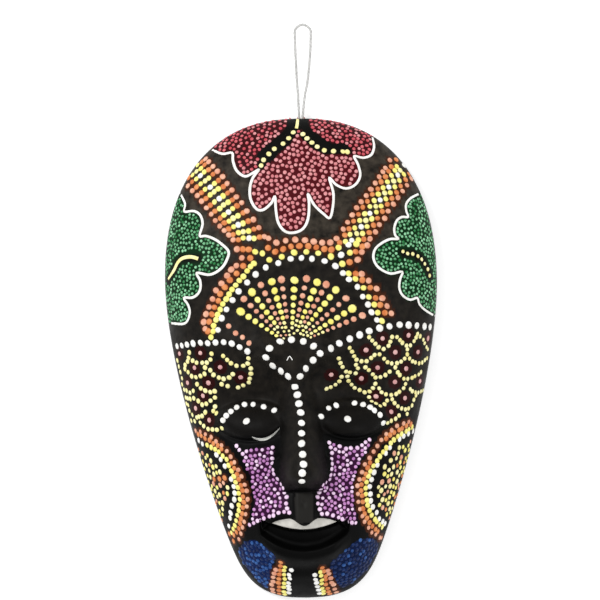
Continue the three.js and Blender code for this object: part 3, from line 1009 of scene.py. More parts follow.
# %% Veins and fine dots of the leaves
RED_STEM = [(0.4, 119.6), (0.1, 117), (-0.4, 114.8)]
RED_VEINS = [
    [(-2.2, 112.9), (-4.5, 110), (-7.4, 107.3), (-11.8, 104.8), (-14.6, 102.3), (-17.3, 99.4),
     (-18.6, 96.6)],
    [(2.6, 111.9), (4.6, 109.7), (7, 107.5), (9.6, 105.4), (13.1, 103.5), (17.7, 103), (22.4, 102.7),
     (24.6, 102.5)],
]
RED_GAPS = [
    [(-3, 119), (-3.2, 116.4), (-5, 113.6), (-8.4, 110.3), (-12.3, 107), (-15.8, 104.4), (-18.7, 101.2)],
    [(-5, 108.4), (-8.9, 105.2), (-12.4, 102.2), (-14.8, 99.4)],
    [(3.3, 119), (3.9, 115.4), (6.2, 112.3), (9.3, 109.9), (12.6, 107.4), (16, 105.6), (20, 104.9),
     (24.5, 104.6)],
]
RED_CORNERS = (
    [(-45, 106), (-33, 102.5), (-31, 94), (-27, 91), (-19, 95), (-14.5, 101.5), (-0.8, 113), (0, 125),
     (-45, 125)],
    [(0, 125), (-0.8, 113), (5.6, 109), (13.5, 103.8), (27.9, 101), (36.4, 100.8), (38, 104.8),
     (36.5, 125)],
)
GREEN_VEIN_LEFT = [(-66.3, 41), (-63.3, 45.5), (-61.3, 49.2), (-58.7, 51.3), (-54.5, 51.8), (-51, 50.8)]
GREEN_VEIN_RIGHT = [
    (50.8, 52), (53.8, 51), (57, 50.2), (59.6, 49), (61.7, 46.5), (63.3, 43), (64.5, 39.5),
]
STEM_LINE = 2.5
RED_VEIN_DOT = 2.7
GREEN_VEIN_LINE = 2
GREEN_VEIN_DOT = 2
GREEN_VEIN_PITCH = 3.1
RED_MARGIN = 2.9
GREEN_MARGIN = 4.8
MARGIN_STEP = 1
CORNER_PAINTS = ("crimson", "crimson", "red")

draw(RED_STEM, STEM_LINE, "cream")
for vein in RED_VEINS:
    dots_at(vein, "cream", RED_VEIN_DOT)
dot_row(GREEN_VEIN_RIGHT, "cream", GREEN_VEIN_DOT, GREEN_VEIN_PITCH)
draw(GREEN_VEIN_LEFT, GREEN_VEIN_LINE, "cream")
red_gaps = [(vein, RED_MARGIN) for vein in RED_VEINS + RED_GAPS + [RED_STEM]]
green_gaps = [(vein, GREEN_MARGIN) for vein in (GREEN_VEIN_LEFT, GREEN_VEIN_RIGHT)]
vein_gaps = red_gaps + green_gaps
for vein, margin in vein_gaps:
    for place in evenly(lifted(rounded(vein)), MARGIN_STEP * MM):
        claim(place, margin)
for corner in RED_CORNERS:
    dot_field(corner, CORNER_PAINTS, size=1.85, pitch=2)
dot_field(leaf_areas["red"], ("red",), size=2, pitch=2.1)
for leaf in ("green_left", "green_right"):
    dot_field(leaf_areas[leaf], ("green",), size=1.5, pitch=1.6)
print("leaf dots:", len(drops["red"]) + len(drops["crimson"]), "red,", len(drops["green"]), "green")

# %% [markdown]
# ## Half flowers at the sides
#
# On each jaw there is half a flower that runs off the edge, with a border of salmon, orange, yellow and
# white rows. The chin has a short border of the same rows on each side. The rows bend differently, so
# each is a line of its own, and `dot_row` keeps the steady distance of the touches. Copies of one row,
# moved inwards, would be too even. A few single orange dots on the left jaw are set by their places.

# %% Borders of the half flowers and of the chin
FLOWER_ROWS = (
    ("salmon", [(-54, -35), (-48.5, -37.4), (-44.5, -40.2), (-39.8, -44), (-35.3, -51), (-32.6, -56.4),
                (-30.2, -62.5), (-29.2, -68.8), (-30, -75.5), (-31.2, -82), (-34.5, -91)]),
    ("orange", [(-53, -36.6), (-46, -41), (-42.5, -43.5), (-38.5, -48), (-35.5, -53.8), (-33, -60),
                (-31.4, -65.5), (-31, -71.5), (-32, -77), (-33.5, -83), (-37, -89)]),
    ("yellow", [(-52, -38.6), (-47, -43.5), (-43, -45.8), (-38.8, -50.6), (-36, -57.5), (-33.9, -62.5),
                (-33, -68), (-33.4, -73), (-34.8, -79.5), (-37.5, -87)]),
    ("white", [(-53, -40), (-47.5, -44.6), (-42.5, -49), (-38.3, -55.5), (-36.6, -60.5), (-35.4, -65.5),
               (-36, -70.5), (-37.7, -75.8), (-38.3, -79.5), (-38.5, -84)]),
    ("salmon", [(52, -33), (47.5, -34.6), (42.8, -37.2), (38.8, -41), (33, -48.8), (29.8, -53.6),
                (27.2, -59), (25.8, -66), (25.9, -71.3), (26.7, -76), (29, -82), (33, -87.8), (38, -91)]),
    ("orange", [(53, -34.3), (45.5, -37.6), (41.5, -40), (36, -46.5), (33, -51.5), (30.4, -57),
                (28.4, -62.5), (27.9, -67), (28.3, -72.5), (29.2, -78), (32, -83), (36.5, -88.5)]),
    ("yellow", [(54, -35.6), (46.5, -40.3), (43, -43), (39, -47.5), (35.6, -51.6), (32.8, -56.4),
                (31, -60.8), (30.1, -65), (30.3, -69.5), (31, -74.5), (32.8, -79), (38, -85.5)]),
    ("white", [(54, -37.5), (48, -41), (44.8, -43.5), (41.3, -47), (38.5, -50.3), (36, -54), (34, -58.3),
               (32.5, -63), (32.2, -67), (32.4, -71.5), (33.6, -75.4), (36.4, -80.8), (40, -84)]),
)
CHIN_ROWS = (
    ("white", [(-8, -105.6), (-8.8, -108.3), (-9, -111), (-9.5, -114.2), (-9.6, -118.5)]),
    ("yellow", [(-11.2, -103.6), (-11.5, -107), (-11.7, -110), (-11.8, -113.2), (-12, -118)]),
    ("orange", [(-13, -101.6), (-14, -108), (-14.4, -111.5), (-14.3, -118.5)]),
    ("salmon", [(-14.9, -103), (-16.2, -106), (-17.3, -109.5), (-17.8, -113), (-17.2, -117.5)]),
    ("white", [(3.8, -108.2), (4.2, -111.4), (4.8, -114.5), (6, -118.5)]),
    ("yellow", [(6.3, -106.6), (6.9, -110.4), (7, -113.4), (8, -118.5)]),
    ("orange", [(7.6, -104.8), (8.8, -108.6), (9.2, -112.5), (10.7, -118.5)]),
    ("salmon", [(10, -105.8), (11.4, -110.5), (13, -114), (14.5, -117.5)]),
)
SINGLE_ORANGE = [(-45.6, -59.4), (-42.9, -59.3), (-40.3, -58.8), (-38.6, -87), (-36.6, -90.6)]
FLOWER_SIZES = {"salmon": (2.5, 3.9), "orange": (2.8, 3), "yellow": (2.9, 3), "white": (3, 3.8)}
CHIN_DOT = 2.7
CHIN_PITCH = 2.9
SINGLE_DOT = 2.9
BORDER_ROOM = 0.65

before = {paint: len(drops[paint]) for paint in ("orange", "salmon")}
for paint, row in FLOWER_ROWS:
    dot_row(row, paint, *FLOWER_SIZES[paint], room=BORDER_ROOM)
for paint, row in CHIN_ROWS:
    dot_row(row, paint, CHIN_DOT, CHIN_PITCH, room=BORDER_ROOM)
dots_at(SINGLE_ORANGE, "orange", SINGLE_DOT)
for paint, number in before.items():
    warm_dots += drops[paint][number:]
print("flowers and chin:", len(FLOWER_ROWS) + len(CHIN_ROWS), "rows")

# %% [markdown]
# Inside the border a black gap follows, and behind it loose dots in warm tints. The ones that can be
# told apart are set by their places. The rest is a field that fills the room between them by chance,
# which looks as unplanned as the painter's own filling.

# %% Insides of the half flowers
INSIDE_DOTS = {
    "cream": [
        (-47, -50.2), (-49.3, -52.4), (-42.6, -55.8), (-45.6, -56.9), (-47.4, -58.4), (-38.9, -63.6),
        (-45.2, -65.4), (-43, -67.3), (-41.6, -71.4), (-41.7, -74.4), (47.2, -45.7), (42.8, -51.9),
        (39.7, -55), (44.1, -55.2), (43, -58.8), (45.9, -57.9), (45.7, -62.6), (42.2, -64.8),
        (37.7, -66.8), (38.2, -71.4), (41, -73.4), (41.7, -76.2), (39, -82.9),
    ],
    "yellow": [
        (-46, -53.4), (-39.1, -66.7), (50.1, -47.1), (47.5, -53), (39.5, -58.6), (43.9, -68.8),
        (41.7, -70.4),
    ],
    "salmon": [
        (-51.1, -46.3), (-45.9, -61.7), (-42.6, -62.5), (-40.4, -69.1), (44.6, -48.4), (48.1, -50.6),
        (38.2, -62.6), (41.7, -62.1), (38.2, -75.4),
    ],
}
FLOWER_INSIDES = (
    [(-58, -42), (-52, -44.4), (-47, -49), (-43, -54), (-40.6, -59.5), (-38.9, -65), (-39.4, -70.5),
     (-41.2, -76), (-42, -81), (-58, -81)],
    [(58, -40), (52, -43.4), (47, -46.6), (43, -51), (40, -55.5), (37.8, -60), (36.4, -65), (36.2, -71),
     (37, -76), (39.6, -81.5), (58, -81.5)],
)
INSIDE_PAINTS = ("cream", "yellow", "yellow", "salmon", "orange", "yellow")
INSIDE_DOT = 2.8

for paint, dots in INSIDE_DOTS.items():
    dots_at(dots, paint, INSIDE_DOT)
for outline in FLOWER_INSIDES:
    dot_field(outline, INSIDE_PAINTS, size=2.3, pitch=2.5)
print("insides:", sum(len(dots) for dots in INSIDE_DOTS.values()), "dots by place, then two fields")

# %% [markdown]
# ## The panels of the cheeks and the chin
#
# Violet dots fill a panel on each cheek and blue ones a panel on each side of the chin. They have no
# drawn outline: the violet ones have an edge of larger and paler touches instead, set before the fill.
# The blue of the right panel is darker, so there only one dot in six is from the brighter mix.

# %% Violet and blue panels
VIOLET_EDGES = (
    [(-33.8, -42.5), (-32, -45.4), (-29.9, -47.8)],
    [(-15.8, -44), (-16.7, -47.8), (-16, -51.3), (-16.4, -55), (-15, -58.5), (-11.6, -63.5), (-9.8, -69),
     (-9.6, -72.6), (-8.3, -76.8)],
    [(-8.3, -76.8), (-12.5, -76.5), (-18.5, -78.4), (-24.5, -80.3), (-29, -83)],
    [(12.3, -42), (13.5, -47), (13.3, -53.8), (12.5, -60), (9.8, -62.3), (7.3, -65.2), (6.2, -69),
     (6.2, -72.5), (8, -77.7)],
    [(8, -77.7), (12, -77.7), (17.5, -80.2), (23, -82.5)],
    [(32.6, -41), (27.6, -44.5), (19.7, -45), (15.5, -43.4)],
)
VIOLET_LEFT = [
    (-30, -44.6), (-23, -44.6), (-15.6, -43.8), (-16.2, -55), (-12, -63), (-9.6, -69), (-8.4, -77),
    (-13, -76.3), (-21, -79.6), (-29, -83.6), (-26.6, -79), (-25.4, -68), (-27.5, -57.5), (-30.5, -50),
]
VIOLET_RIGHT = [
    (12, -42), (19.6, -44.6), (27.7, -44.2), (33, -40.8), (31, -46.5), (27, -52), (23.8, -60),
    (23, -68), (25, -83), (18.4, -80.8), (7.8, -78), (6.2, -69), (6.7, -65), (12.3, -59), (13, -50),
]
BLUE_LEFT = [
    (-34.5, -95.5), (-31, -91.5), (-27, -90), (-24.5, -91), (-16.4, -97.5), (-16.2, -99.5), (-18.4, -105),
    (-20.5, -114), (-25, -110.5), (-32, -101.8),
]
BLUE_RIGHT = [
    (11.3, -102.7), (20, -95.5), (26, -91), (32.5, -91), (35.8, -93.5), (34.5, -98), (29.6, -106.5),
    (23.5, -112), (17, -115), (13.6, -110),
]
VIOLET_EDGE_DOT = 2.2
VIOLET_EDGE_PITCH = 2.8
VIOLET_PAINTS = ("violet", "violet", "lilac")
BLUE_PANELS = ((BLUE_LEFT, ("blue", "navy")), (BLUE_RIGHT, ("navy",) * 5 + ("blue",)))

for edge in VIOLET_EDGES:
    dot_row(edge, "lilac", VIOLET_EDGE_DOT, VIOLET_EDGE_PITCH)
for panel in (VIOLET_LEFT, VIOLET_RIGHT):
    dot_field(panel, VIOLET_PAINTS, size=1.85, pitch=1.9)
for panel, paints in BLUE_PANELS:
    dot_field(panel, paints, size=2.1, pitch=1.85)
violet_count = len(drops["violet"]) + len(drops["lilac"])
print("panel dots:", violet_count, "violet,", len(drops["blue"]) + len(drops["navy"]), "blue")

# %% [markdown]
# ## Fish scales on the temples
#
# Each scale is a pink dot with half a ring of pale yellow dots below it, as fish scales are drawn. A
# grid of equal scales would be easy, but it would look printed. The hand set them unevenly, so each
# pink dot has a place of its own, and the rings follow later.

# %% Scales
SCALES_LEFT = [
    (-51, 3.8), (-54.1, -3.5), (-41.2, -3.5), (-57.8, -11), (-47.3, -11.2), (-31.1, -8.8),
    (-50.2, -17.6), (-54, -23.8), (-47.3, -29.8), (-61.5, 3.6),
]
SCALES_RIGHT = [
    (53, 10.3), (40, 9), (31.6, 3.4), (46.2, 2), (57.6, 1.8), (37.2, -5.5), (51.5, -6.3), (14, -8.5),
    (29, -10.7), (45.7, -12.8), (58.3, -12.8), (36.1, -19.8), (50.6, -21), (43.5, -27.7), (62.8, 8.5),
]
SCALE_DOT = 2.6

for x, y in SCALES_LEFT + SCALES_RIGHT:
    drop(x, y, "rose", SCALE_DOT)
print("scales:", len(SCALES_LEFT) + len(SCALES_RIGHT))

# %% [markdown]
# The half rings of neighbours meet, and the painter runs one row on into the next, so a net appears. It
# is made as the rows that the hand drew, because rings drawn one by one would crowd where they meet.

# %% Net of the left temple
NET_LEFT = (
    [(-56.4, 4.3), (-56.9, 2), (-55, 0.2), (-52.1, -1), (-48.8, -1.1), (-46.2, 0.3), (-44.2, 5.4)],
    [(-57.5, -0.5), (-59.4, -2.9), (-57.2, -5.8), (-55.3, -8), (-52.5, -8.1), (-49.3, -6.7),
     (-48.8, -1.1)],
    [(-46.3, -5), (-44.7, -7.4), (-41, -9.2), (-37.7, -9.3), (-33.5, -5.8)],
    [(-39.6, 2.2), (-37.2, -0.4), (-34.5, -2.4), (-30.6, -3.3), (-27.3, -1.4), (-26.8, 1.1)],
    [(-26, -4.4), (-26.2, -7), (-26.6, -10.3), (-29.1, -12.8), (-32.8, -14.1)],
    [(-53, -11.7), (-50.6, -14.2), (-47.5, -15.5), (-45.2, -15.8), (-41.7, -14.4)],
    [(-40.8, -12.2), (-36.4, -13.4)],
    [(-60.7, -9), (-60.3, -12.9), (-58.4, -15.3), (-56, -15.8), (-54.8, -14.1)],
    [(-57.9, -18.8), (-54.3, -18.9), (-51.3, -21.5), (-48, -21.5), (-45.1, -19.1), (-42, -18)],
    [(-57.4, -22.1), (-56.7, -25.8), (-54.6, -28), (-52.3, -28.1), (-49.7, -27), (-48.6, -24.8)],
    [(-43.8, -22.7), (-45, -25.5), (-43.1, -26.7)],
    [(-52.3, -28.1), (-51.5, -31.2), (-49.9, -32.9), (-47.7, -34), (-43.8, -34.8), (-41.2, -33.9)],
    [(-56.2, -30), (-54.3, -30.2)],
    [(-62.6, 0), (-62, -3.2), (-61.4, -6.2)],
    [(-59, -18.6), (-58.2, -22), (-57.2, -25.6)],
)
NET_SHAKE = 0.18
NET_ROOM = 0.75


def net(rows, size, pitch):
    for row in rows:
        dot_row(row, "cream", size, pitch, NET_SHAKE, NET_ROOM)


net(NET_LEFT, size=2.55, pitch=2.9)
print("left net:", len(NET_LEFT), "rows")

# %% [markdown]
# The net of the right temple is larger, and its dots are smaller and closer together. The same function
# draws it with other sizes.

# %% Net of the right temple
NET_RIGHT = (
    [(33.2, 9.7), (35.2, 7.6), (37.4, 5.1), (40.1, 3.8), (42.8, 5.5), (44.2, 8.1), (45.2, 10.9)],
    [(45.2, 10.9), (48.2, 8.7), (50.5, 5.9), (52.8, 4.9), (55.1, 6.4), (57.6, 10.8)],
    [(57.6, 10.8), (60.2, 7.7), (61.6, 5), (62.8, 2.2)],
    [(23.1, 4.6), (25, 2.2), (27, -1.5), (30.6, -2.4), (33.6, -1), (36, 0.9), (39.7, 1.2)],
    [(40.1, 3.8), (39.7, 1), (41, -1.8), (43.6, -3.4), (47.3, -3.3), (50.6, -1.5), (52.4, 1.2),
     (52.1, 3.9)],
    [(52.4, 1.2), (53.4, -1.5), (55.6, -3.2), (58.2, -3.9), (60.9, -2.6), (63, -0.3)],
    [(30.9, -5.3), (33.5, -7.7), (35.8, -10.1), (38.8, -10.2), (41.5, -8.9), (43.8, -6.6), (43.6, -3.4)],
    [(47.3, -3.3), (46.2, -6.6), (47.8, -8.8), (49.4, -10.7), (51.7, -11.6), (55.1, -10.5), (60.2, -7.3)],
    [(21.8, -7.4), (22.4, -10.8), (24.3, -14.1), (27.3, -16.2), (31.6, -17.6), (35, -15.7),
     (36.1, -10.4)],
    [(37.6, -15.8), (39.3, -18.1), (42.6, -19.3), (47.6, -18.3), (50.3, -15.7), (51.7, -12.1)],
    [(51.7, -12.1), (52.7, -15.4), (54.3, -17.8), (56.8, -18.5), (60, -17.6)],
    [(42.6, -19.3), (44.2, -21.4), (46.1, -24.3), (48.7, -26), (51.4, -26.5), (54.1, -24.8),
     (56.8, -18.5)],
    [(31.6, -17.6), (33.5, -21.7), (37.4, -24.3), (40.8, -23.2), (42.5, -19.9)],
    [(41.6, -33.2), (43.4, -32.2), (46, -30.6), (48, -29), (49.3, -26.7), (50.7, -28.1), (52.1, -30.2)],
    [(18.3, -0.3), (19.2, -3.4), (20.9, -5.7), (22.8, -7.4), (26.1, -7.8), (27.9, -5.2), (30.9, -5.3),
     (30.3, -2.3)],
    [(19.4, -9.7), (17.4, -12.3), (15, -13.9), (13, -15.2), (10.6, -15.5)],
    [(27.3, -1.5), (26.4, -4.5), (27.8, -6.9)],
)

net(NET_RIGHT, size=2.3, pitch=2.6)
print("right net:", len(NET_RIGHT), "rows, and", len(drops["cream"]), "cream dots in all")

# %% [markdown]
# ## From touches to drops of paint
#
# A drop of thick paint dries as a low dome. A small sphere, flattened and half sunk in the wood, gives
# that dome with few faces. An operator call for each of the thousands of drops would take many minutes,
# so the sphere is made once, its points are placed for every touch, and one mesh holds all drops of a
# tint.

# %% Make the drops
DROP_SEGMENTS = 10
DROP_RINGS = 4
DROP_LOW = 0.096
DROP_RISE = 0.064
DROP_LENGTHS = (0.94, 1.08)

drop_shape = bmesh.new()
bmesh.ops.create_uvsphere(drop_shape, u_segments=DROP_SEGMENTS, v_segments=DROP_RINGS, radius=1)
drop_points = np.array([vertex.co for vertex in drop_shape.verts])
drop_faces = [[vertex.index for vertex in face.verts] for face in drop_shape.faces]
drop_shape.free()


def lay_flat(point, normal, size):
    """Where one drop goes: flattened, a little longer one way, turned by chance, laid on the surface."""
    turn = normal.to_track_quat("Z", "X").to_matrix().to_4x4()
    spin = Matrix.Rotation(hand.uniform(0, math.tau), 4, "Z")
    longer = hand.uniform(*DROP_LENGTHS)
    height = DROP_LOW + DROP_RISE * size
    scale = Matrix.Diagonal((size / 2 * longer * MM, size / 2 / longer * MM, height * MM, 1))
    return np.array(Matrix.Translation(point) @ turn @ spin @ scale)


def drops_mesh(name, touches):
    points = []
    faces = []
    for number, touch in enumerate(touches):
        laid = lay_flat(*touch)
        points.append(drop_points @ laid[:3, :3].T + laid[:3, 3])
        first = number * len(drop_points)
        faces += [[first + corner for corner in face] for face in drop_faces]
    mesh = bpy.data.meshes.new(name)
    mesh.from_pydata(np.concatenate(points), [], faces)
    return mesh


paint_pieces = {}
for paint, pot in PAINT_POTS.items():
    name = paint + "_dots"
    paint_pieces[paint] = [add_piece(name, drops_mesh(name, drops[paint]))]
    print(paint, "dots:", len(drops[paint]))

# %% [markdown]
# The drawn lines are trails of the same thick paint. A flat ribbon would need its own edges, so each
# is a round tube like the cord's, sunk so far into the wood that only a low strip of the wanted width
# shows. The tube's radius follows from the width and the height of that strip.

# %% Make the lines
LINE_HEIGHT = 0.22


def line_mesh(name, line, width):
    radius = (width * width / 4 + LINE_HEIGHT ** 2) / (2 * LINE_HEIGHT)
    depth = (radius - LINE_HEIGHT) * MM
    sunk = [p - on_surface(p.x / MM, p.y / MM)[1] * depth for p in line]
    return swept(name, sunk, radius * MM)


for number, (line, width, paint) in enumerate(strokes):
    name = f"{paint}_line_{number + 1}"
    paint_pieces[paint].append(add_piece(name, line_mesh(name, line, width)))
print("drawn lines:", len(strokes))

# %% [markdown]
# ## Teeth and the painted highlight in the eye
#
# The teeth are one white shape under the bow of the lip, and one eye has a pale crescent on its lower
# rim: a painted highlight, the glint of light on the rim made as paint. A colour at the mask's points
# would have ragged edges, because the points are too far apart. So each is a thin skin of paint: a grid
# whose points are moved between a lower and an upper edge, dropped onto the wood and given a little
# thickness.

# %% Painted patches
SKIN = 0.2
PATCH_COLUMNS = 44
PATCH_ROWS = 6
GRID_HALF = 0.5


def painted_patch(name, x_from, x_to, lower, upper):
    patch = bmesh.new()
    bmesh.ops.create_grid(patch, x_segments=PATCH_COLUMNS, y_segments=PATCH_ROWS, size=GRID_HALF)
    for vertex in patch.verts:
        x = x_from + (x_to - x_from) * (vertex.co.x + GRID_HALF)
        y = lower(x) + (upper(x) - lower(x)) * (vertex.co.y + GRID_HALF)
        point, normal = on_surface(x, y)
        vertex.co = point + normal * SKIN * MM
    bmesh.ops.recalc_face_normals(patch, faces=patch.faces)
    bmesh.ops.solidify(patch, geom=patch.faces[:], thickness=SKIN * MM)
    mesh = bpy.data.meshes.new(name)
    patch.to_mesh(mesh)
    patch.free()
    return add_piece(name, mesh)


print("a patch has", PATCH_COLUMNS * PATCH_ROWS, "faces before it gets its thickness")

# %% [markdown]
# The teeth fill the opening between their own edge and the lip, less a hair's breadth of black. The
# crescent of painted highlight bends like the rim of the eye and tapers to a point at both ends.

# %% Teeth and painted eye highlight
TEETH_HALF_WIDTH = 16
TEETH_MARGINS = (0.15, 0.35)
EYE_HIGHLIGHT_TIP = 0.02
# The pale crescent on the lower rim of the left eye is a painted highlight.
EYE_HIGHLIGHT = Form(start=-26, end=-12.2, middle_x=-21.3, low_y=-39.9, bend=0.068, half=0.75, fullness=0.6)


def teeth_low(x):
    return float(teeth_edge(x - FACE_X)) + TEETH_MARGINS[0]


def teeth_high(x):
    return float(lip_bow(x - FACE_X)) - TEETH_MARGINS[1]


def eye_highlight_line(x):
    return EYE_HIGHLIGHT.low_y + EYE_HIGHLIGHT.bend * (x - EYE_HIGHLIGHT.middle_x) ** 2


def eye_highlight_half(x):
    """Half the crescent's width: widest in the middle, and nearly nothing at its points."""
    t = (x - EYE_HIGHLIGHT.start) / (EYE_HIGHLIGHT.end - EYE_HIGHLIGHT.start)
    return EYE_HIGHLIGHT.half * math.sin(math.pi * min(max(t, EYE_HIGHLIGHT_TIP), 1 - EYE_HIGHLIGHT_TIP)) ** EYE_HIGHLIGHT.fullness


teeth = painted_patch(
    "teeth", FACE_X - TEETH_HALF_WIDTH, FACE_X + TEETH_HALF_WIDTH, teeth_low, teeth_high,
)
# Painted highlight: a pale crescent of paint where light would glint on the eye's rim.
eye_highlight = painted_patch(
    "eye_highlight", EYE_HIGHLIGHT.start, EYE_HIGHLIGHT.end,
    lambda x: eye_highlight_line(x) - eye_highlight_half(x), lambda x: eye_highlight_line(x) + eye_highlight_half(x),
)
print("patches:", teeth.name, eye_highlight.name)

# %% [markdown]
# ## The painted ground
#
# Under the dots each motif has a ground of its own: maroon under the red leaf, dark green, violet and
# navy under the others, warm brown round the orange and salmon dots of the bands and borders, and black
# elsewhere. An image could hold this, but it would need an unwrapped mesh. Here the colours are stored
# at the points of the mask, where a shader can read them. They end a little above the upright edge,
# which is black all round.

# %% Colours of the grounds
def light_value(level):
    """One channel of a colour as seen on a screen, from 0 to 255, made into what shaders use."""
    share = level / 255
    return ((share + 0.055) / 1.055) ** 2.4 if level > 10 else share / 12.92


def paint_colour(red, green, blue):
    return (light_value(red), light_value(green), light_value(blue))


BLACK_GROUND = paint_colour(12, 11, 10)
# A darker black for the lower face: painted shade.
PAINTED_SHADE_BLACK = paint_colour(3, 3, 3)
# A lighter grey for the block under the nose: painted highlight.
PHILTRUM_PAINTED_LIGHT = paint_colour(34, 33, 31)
VEIN_GROUND = paint_colour(9, 9, 7)
VEIN_REACH = 2.175
WARM_GROUND = paint_colour(66, 30, 11)
WARM_REACH = 2.4
SCALE_GROUND = paint_colour(40, 8, 8)
SCALE_REACH = 3.6
MAROON = paint_colour(76, 12, 20)
DARK_MAROON = paint_colour(56, 9, 14)
DARK_GREEN = paint_colour(5, 42, 16)
DARK_VIOLET = paint_colour(50, 14, 48)
GROUNDS = (
    (leaf_areas["red"], MAROON), (RED_CORNERS[0], DARK_MAROON), (RED_CORNERS[1], DARK_MAROON),
    (leaf_areas["green_left"], DARK_GREEN), (leaf_areas["green_right"], DARK_GREEN),
    (VIOLET_LEFT, DARK_VIOLET), (VIOLET_RIGHT, DARK_VIOLET),
    (BLUE_LEFT, paint_colour(2, 28, 78)), (BLUE_RIGHT, paint_colour(1, 20, 58)),
)
print("grounds:", len(GROUNDS), "areas and", len(warm_dots), "warm dots")

# %% [markdown]
# An area is coloured where points of the front lie inside its outline, and a dot or a vein colours all
# points within reach of it. Later colours cover earlier ones, as paint does, so the order matters: warm
# brown, then the areas, the scales and the black beside the veins.

# %% Colour the points under the motifs
PAINT_ENDS = 0.996
across = places[:, 0]
up = places[:, 1]
ground = np.ones((count, 4))
ground[:, :3] = BLACK_GROUND


def colour_round(point, reach, colour):
    """Colour the points of the front within reach of a place on the surface."""
    near = np.linalg.norm(places - np.array(point) / MM, axis=1) < reach
    ground[near & front, :3] = colour


def colour_motifs():
    above_edge = front & (outline_share(across, up) < PAINT_ENDS)
    for point, _, _ in warm_dots:
        colour_round(point, WARM_REACH, WARM_GROUND)
    for area, colour in GROUNDS:
        ground[inside(rounded(area), across, up) & above_edge, :3] = colour
    for x, y in SCALES_LEFT + SCALES_RIGHT:
        colour_round(on_surface(x, y)[0], SCALE_REACH, SCALE_GROUND)
    for vein, _ in vein_gaps:
        for place in lifted(rounded(vein)):
            colour_round(place, VEIN_REACH, VEIN_GROUND)


print("paint may reach", PAINT_ENDS, "of the way to the outline")

# %% [markdown]
# The black isn't one black, and part of it is painted light. Below the eyes, beside the nose, the
# ground is a darker black: painted shade on the lower face. The block under the nose gets a lighter grey
# and the nose grey clouds: painted highlight where they catch light. The upper face gets grey clouds,
# partly rubbed paint and partly painted sheen, stronger on the forehead. Two more values go to the mask's
# points for this: `wear_and_sheen` says how strong the rubbed and lit clouds may be, and `bare_wood` marks
# the hollow, which isn't painted.

# %% Shades of black, painted shade and highlight, wear and bare wood
PAINTED_SHADE_BELOW = -38
# The nose is kept out of the painted shade and gets a painted highlight.
NOSE_LIT_AREA = Form(half_width=7, swell=5, end_y=-64)
PHILTRUM_LIT_AREA = Form(half_width=4.4, middle_y=-74.5, half_height=7.5)
LEAST_WEAR = 0.02
# Grey clouds on the upper face: partly rubbed paint, partly painted sheen that grows towards the top.
BROW_WEAR_AND_SHEEN = Form(amount=0.2, ramp=(-36, -10))
FOREHEAD_WEAR_AND_SHEEN = Form(amount=0.6, ramp=(44, 62))
NOSE_HIGHLIGHT = Form(amount=0.17, side=(0, 5), tip=(-66, -60))
BARE_FROM = 2
BARE_FULL = 6

nose_half = NOSE_LIT_AREA.half_width + NOSE_LIT_AREA.swell * down_nose(up)
off_ridge = from_ridge(across - FACE_X, up)
on_nose = (off_ridge < nose_half) & (up > NOSE_LIT_AREA.end_y)
# Painted shade: below the eyes, away from the nose, the black is darker where less light falls.
ground[front & (up < PAINTED_SHADE_BELOW) & ~on_nose, :3] = PAINTED_SHADE_BLACK
# Painted highlight: the block under the nose is a lighter grey where it catches light.
on_philtrum = np.abs(across - FACE_X) < PHILTRUM_LIT_AREA.half_width
on_philtrum &= np.abs(up - PHILTRUM_LIT_AREA.middle_y) < PHILTRUM_LIT_AREA.half_height
ground[front & on_philtrum, :3] = PHILTRUM_PAINTED_LIGHT
colour_motifs()

# Rubbed grey and painted sheen, stronger towards the top of the face.
wear_and_sheen = LEAST_WEAR + BROW_WEAR_AND_SHEEN.amount * step(*BROW_WEAR_AND_SHEEN.ramp, up)
wear_and_sheen += FOREHEAD_WEAR_AND_SHEEN.amount * step(*FOREHEAD_WEAR_AND_SHEEN.ramp, up)
wear_and_sheen = np.where(front, wear_and_sheen, LEAST_WEAR)
# Painted highlight: grey clouds on the nose, fading at its sides and below its tip, where it catches light.
nose_highlight = NOSE_HIGHLIGHT.amount * step(*NOSE_HIGHLIGHT.side, nose_half - off_ridge) * step(*NOSE_HIGHLIGHT.tip, up)
wear_and_sheen = np.where(front & on_nose, np.maximum(wear_and_sheen, nose_highlight), wear_and_sheen)
wear_and_sheen[(ground[:, :3] != BLACK_GROUND).any(axis=1)] = 0
bare = np.where(hollow, step(BARE_FROM, BARE_FULL, places[:, 2]), 0.0)

mask_mesh.attributes.new("ground", "FLOAT_COLOR", "POINT").data.foreach_set("color", ground.ravel())
mask_mesh.attributes.new("bare_wood", "FLOAT", "POINT").data.foreach_set("value", bare)
mask_mesh.attributes.new("wear_and_sheen", "FLOAT", "POINT").data.foreach_set("value", wear_and_sheen)
mask = add_piece("mask", mask_mesh)
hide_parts("carved_mask")
print("mask:", len(mask_mesh.polygons), "faces, bare wood on", int((bare > 0.5).sum()), "points")

# %% [markdown]
# ## Materials
#
# All finishes are made of shader nodes, because a picture of paint or wood would repeat and blur when
# we come close. A few helpers keep the finishes short. The first ones start a material and give what
# its nodes begin with: values stored at the points, and clouds of noise.

# %% Materials, stored values and noise
def finish_of(name):
    """A new material, and the shader that its nodes lead to."""
    material = bpy.data.materials.new(name)
    material.use_nodes = True
    return material, material.node_tree.nodes["Principled BSDF"]


def coat(piece, material):
    piece.data.materials.clear()
    piece.data.materials.append(material)


def stored(material, name):
    """The node that reads a value or colour stored at the mask's points."""
    node = material.node_tree.nodes.new("ShaderNodeAttribute")
    node.attribute_name = name
    return node


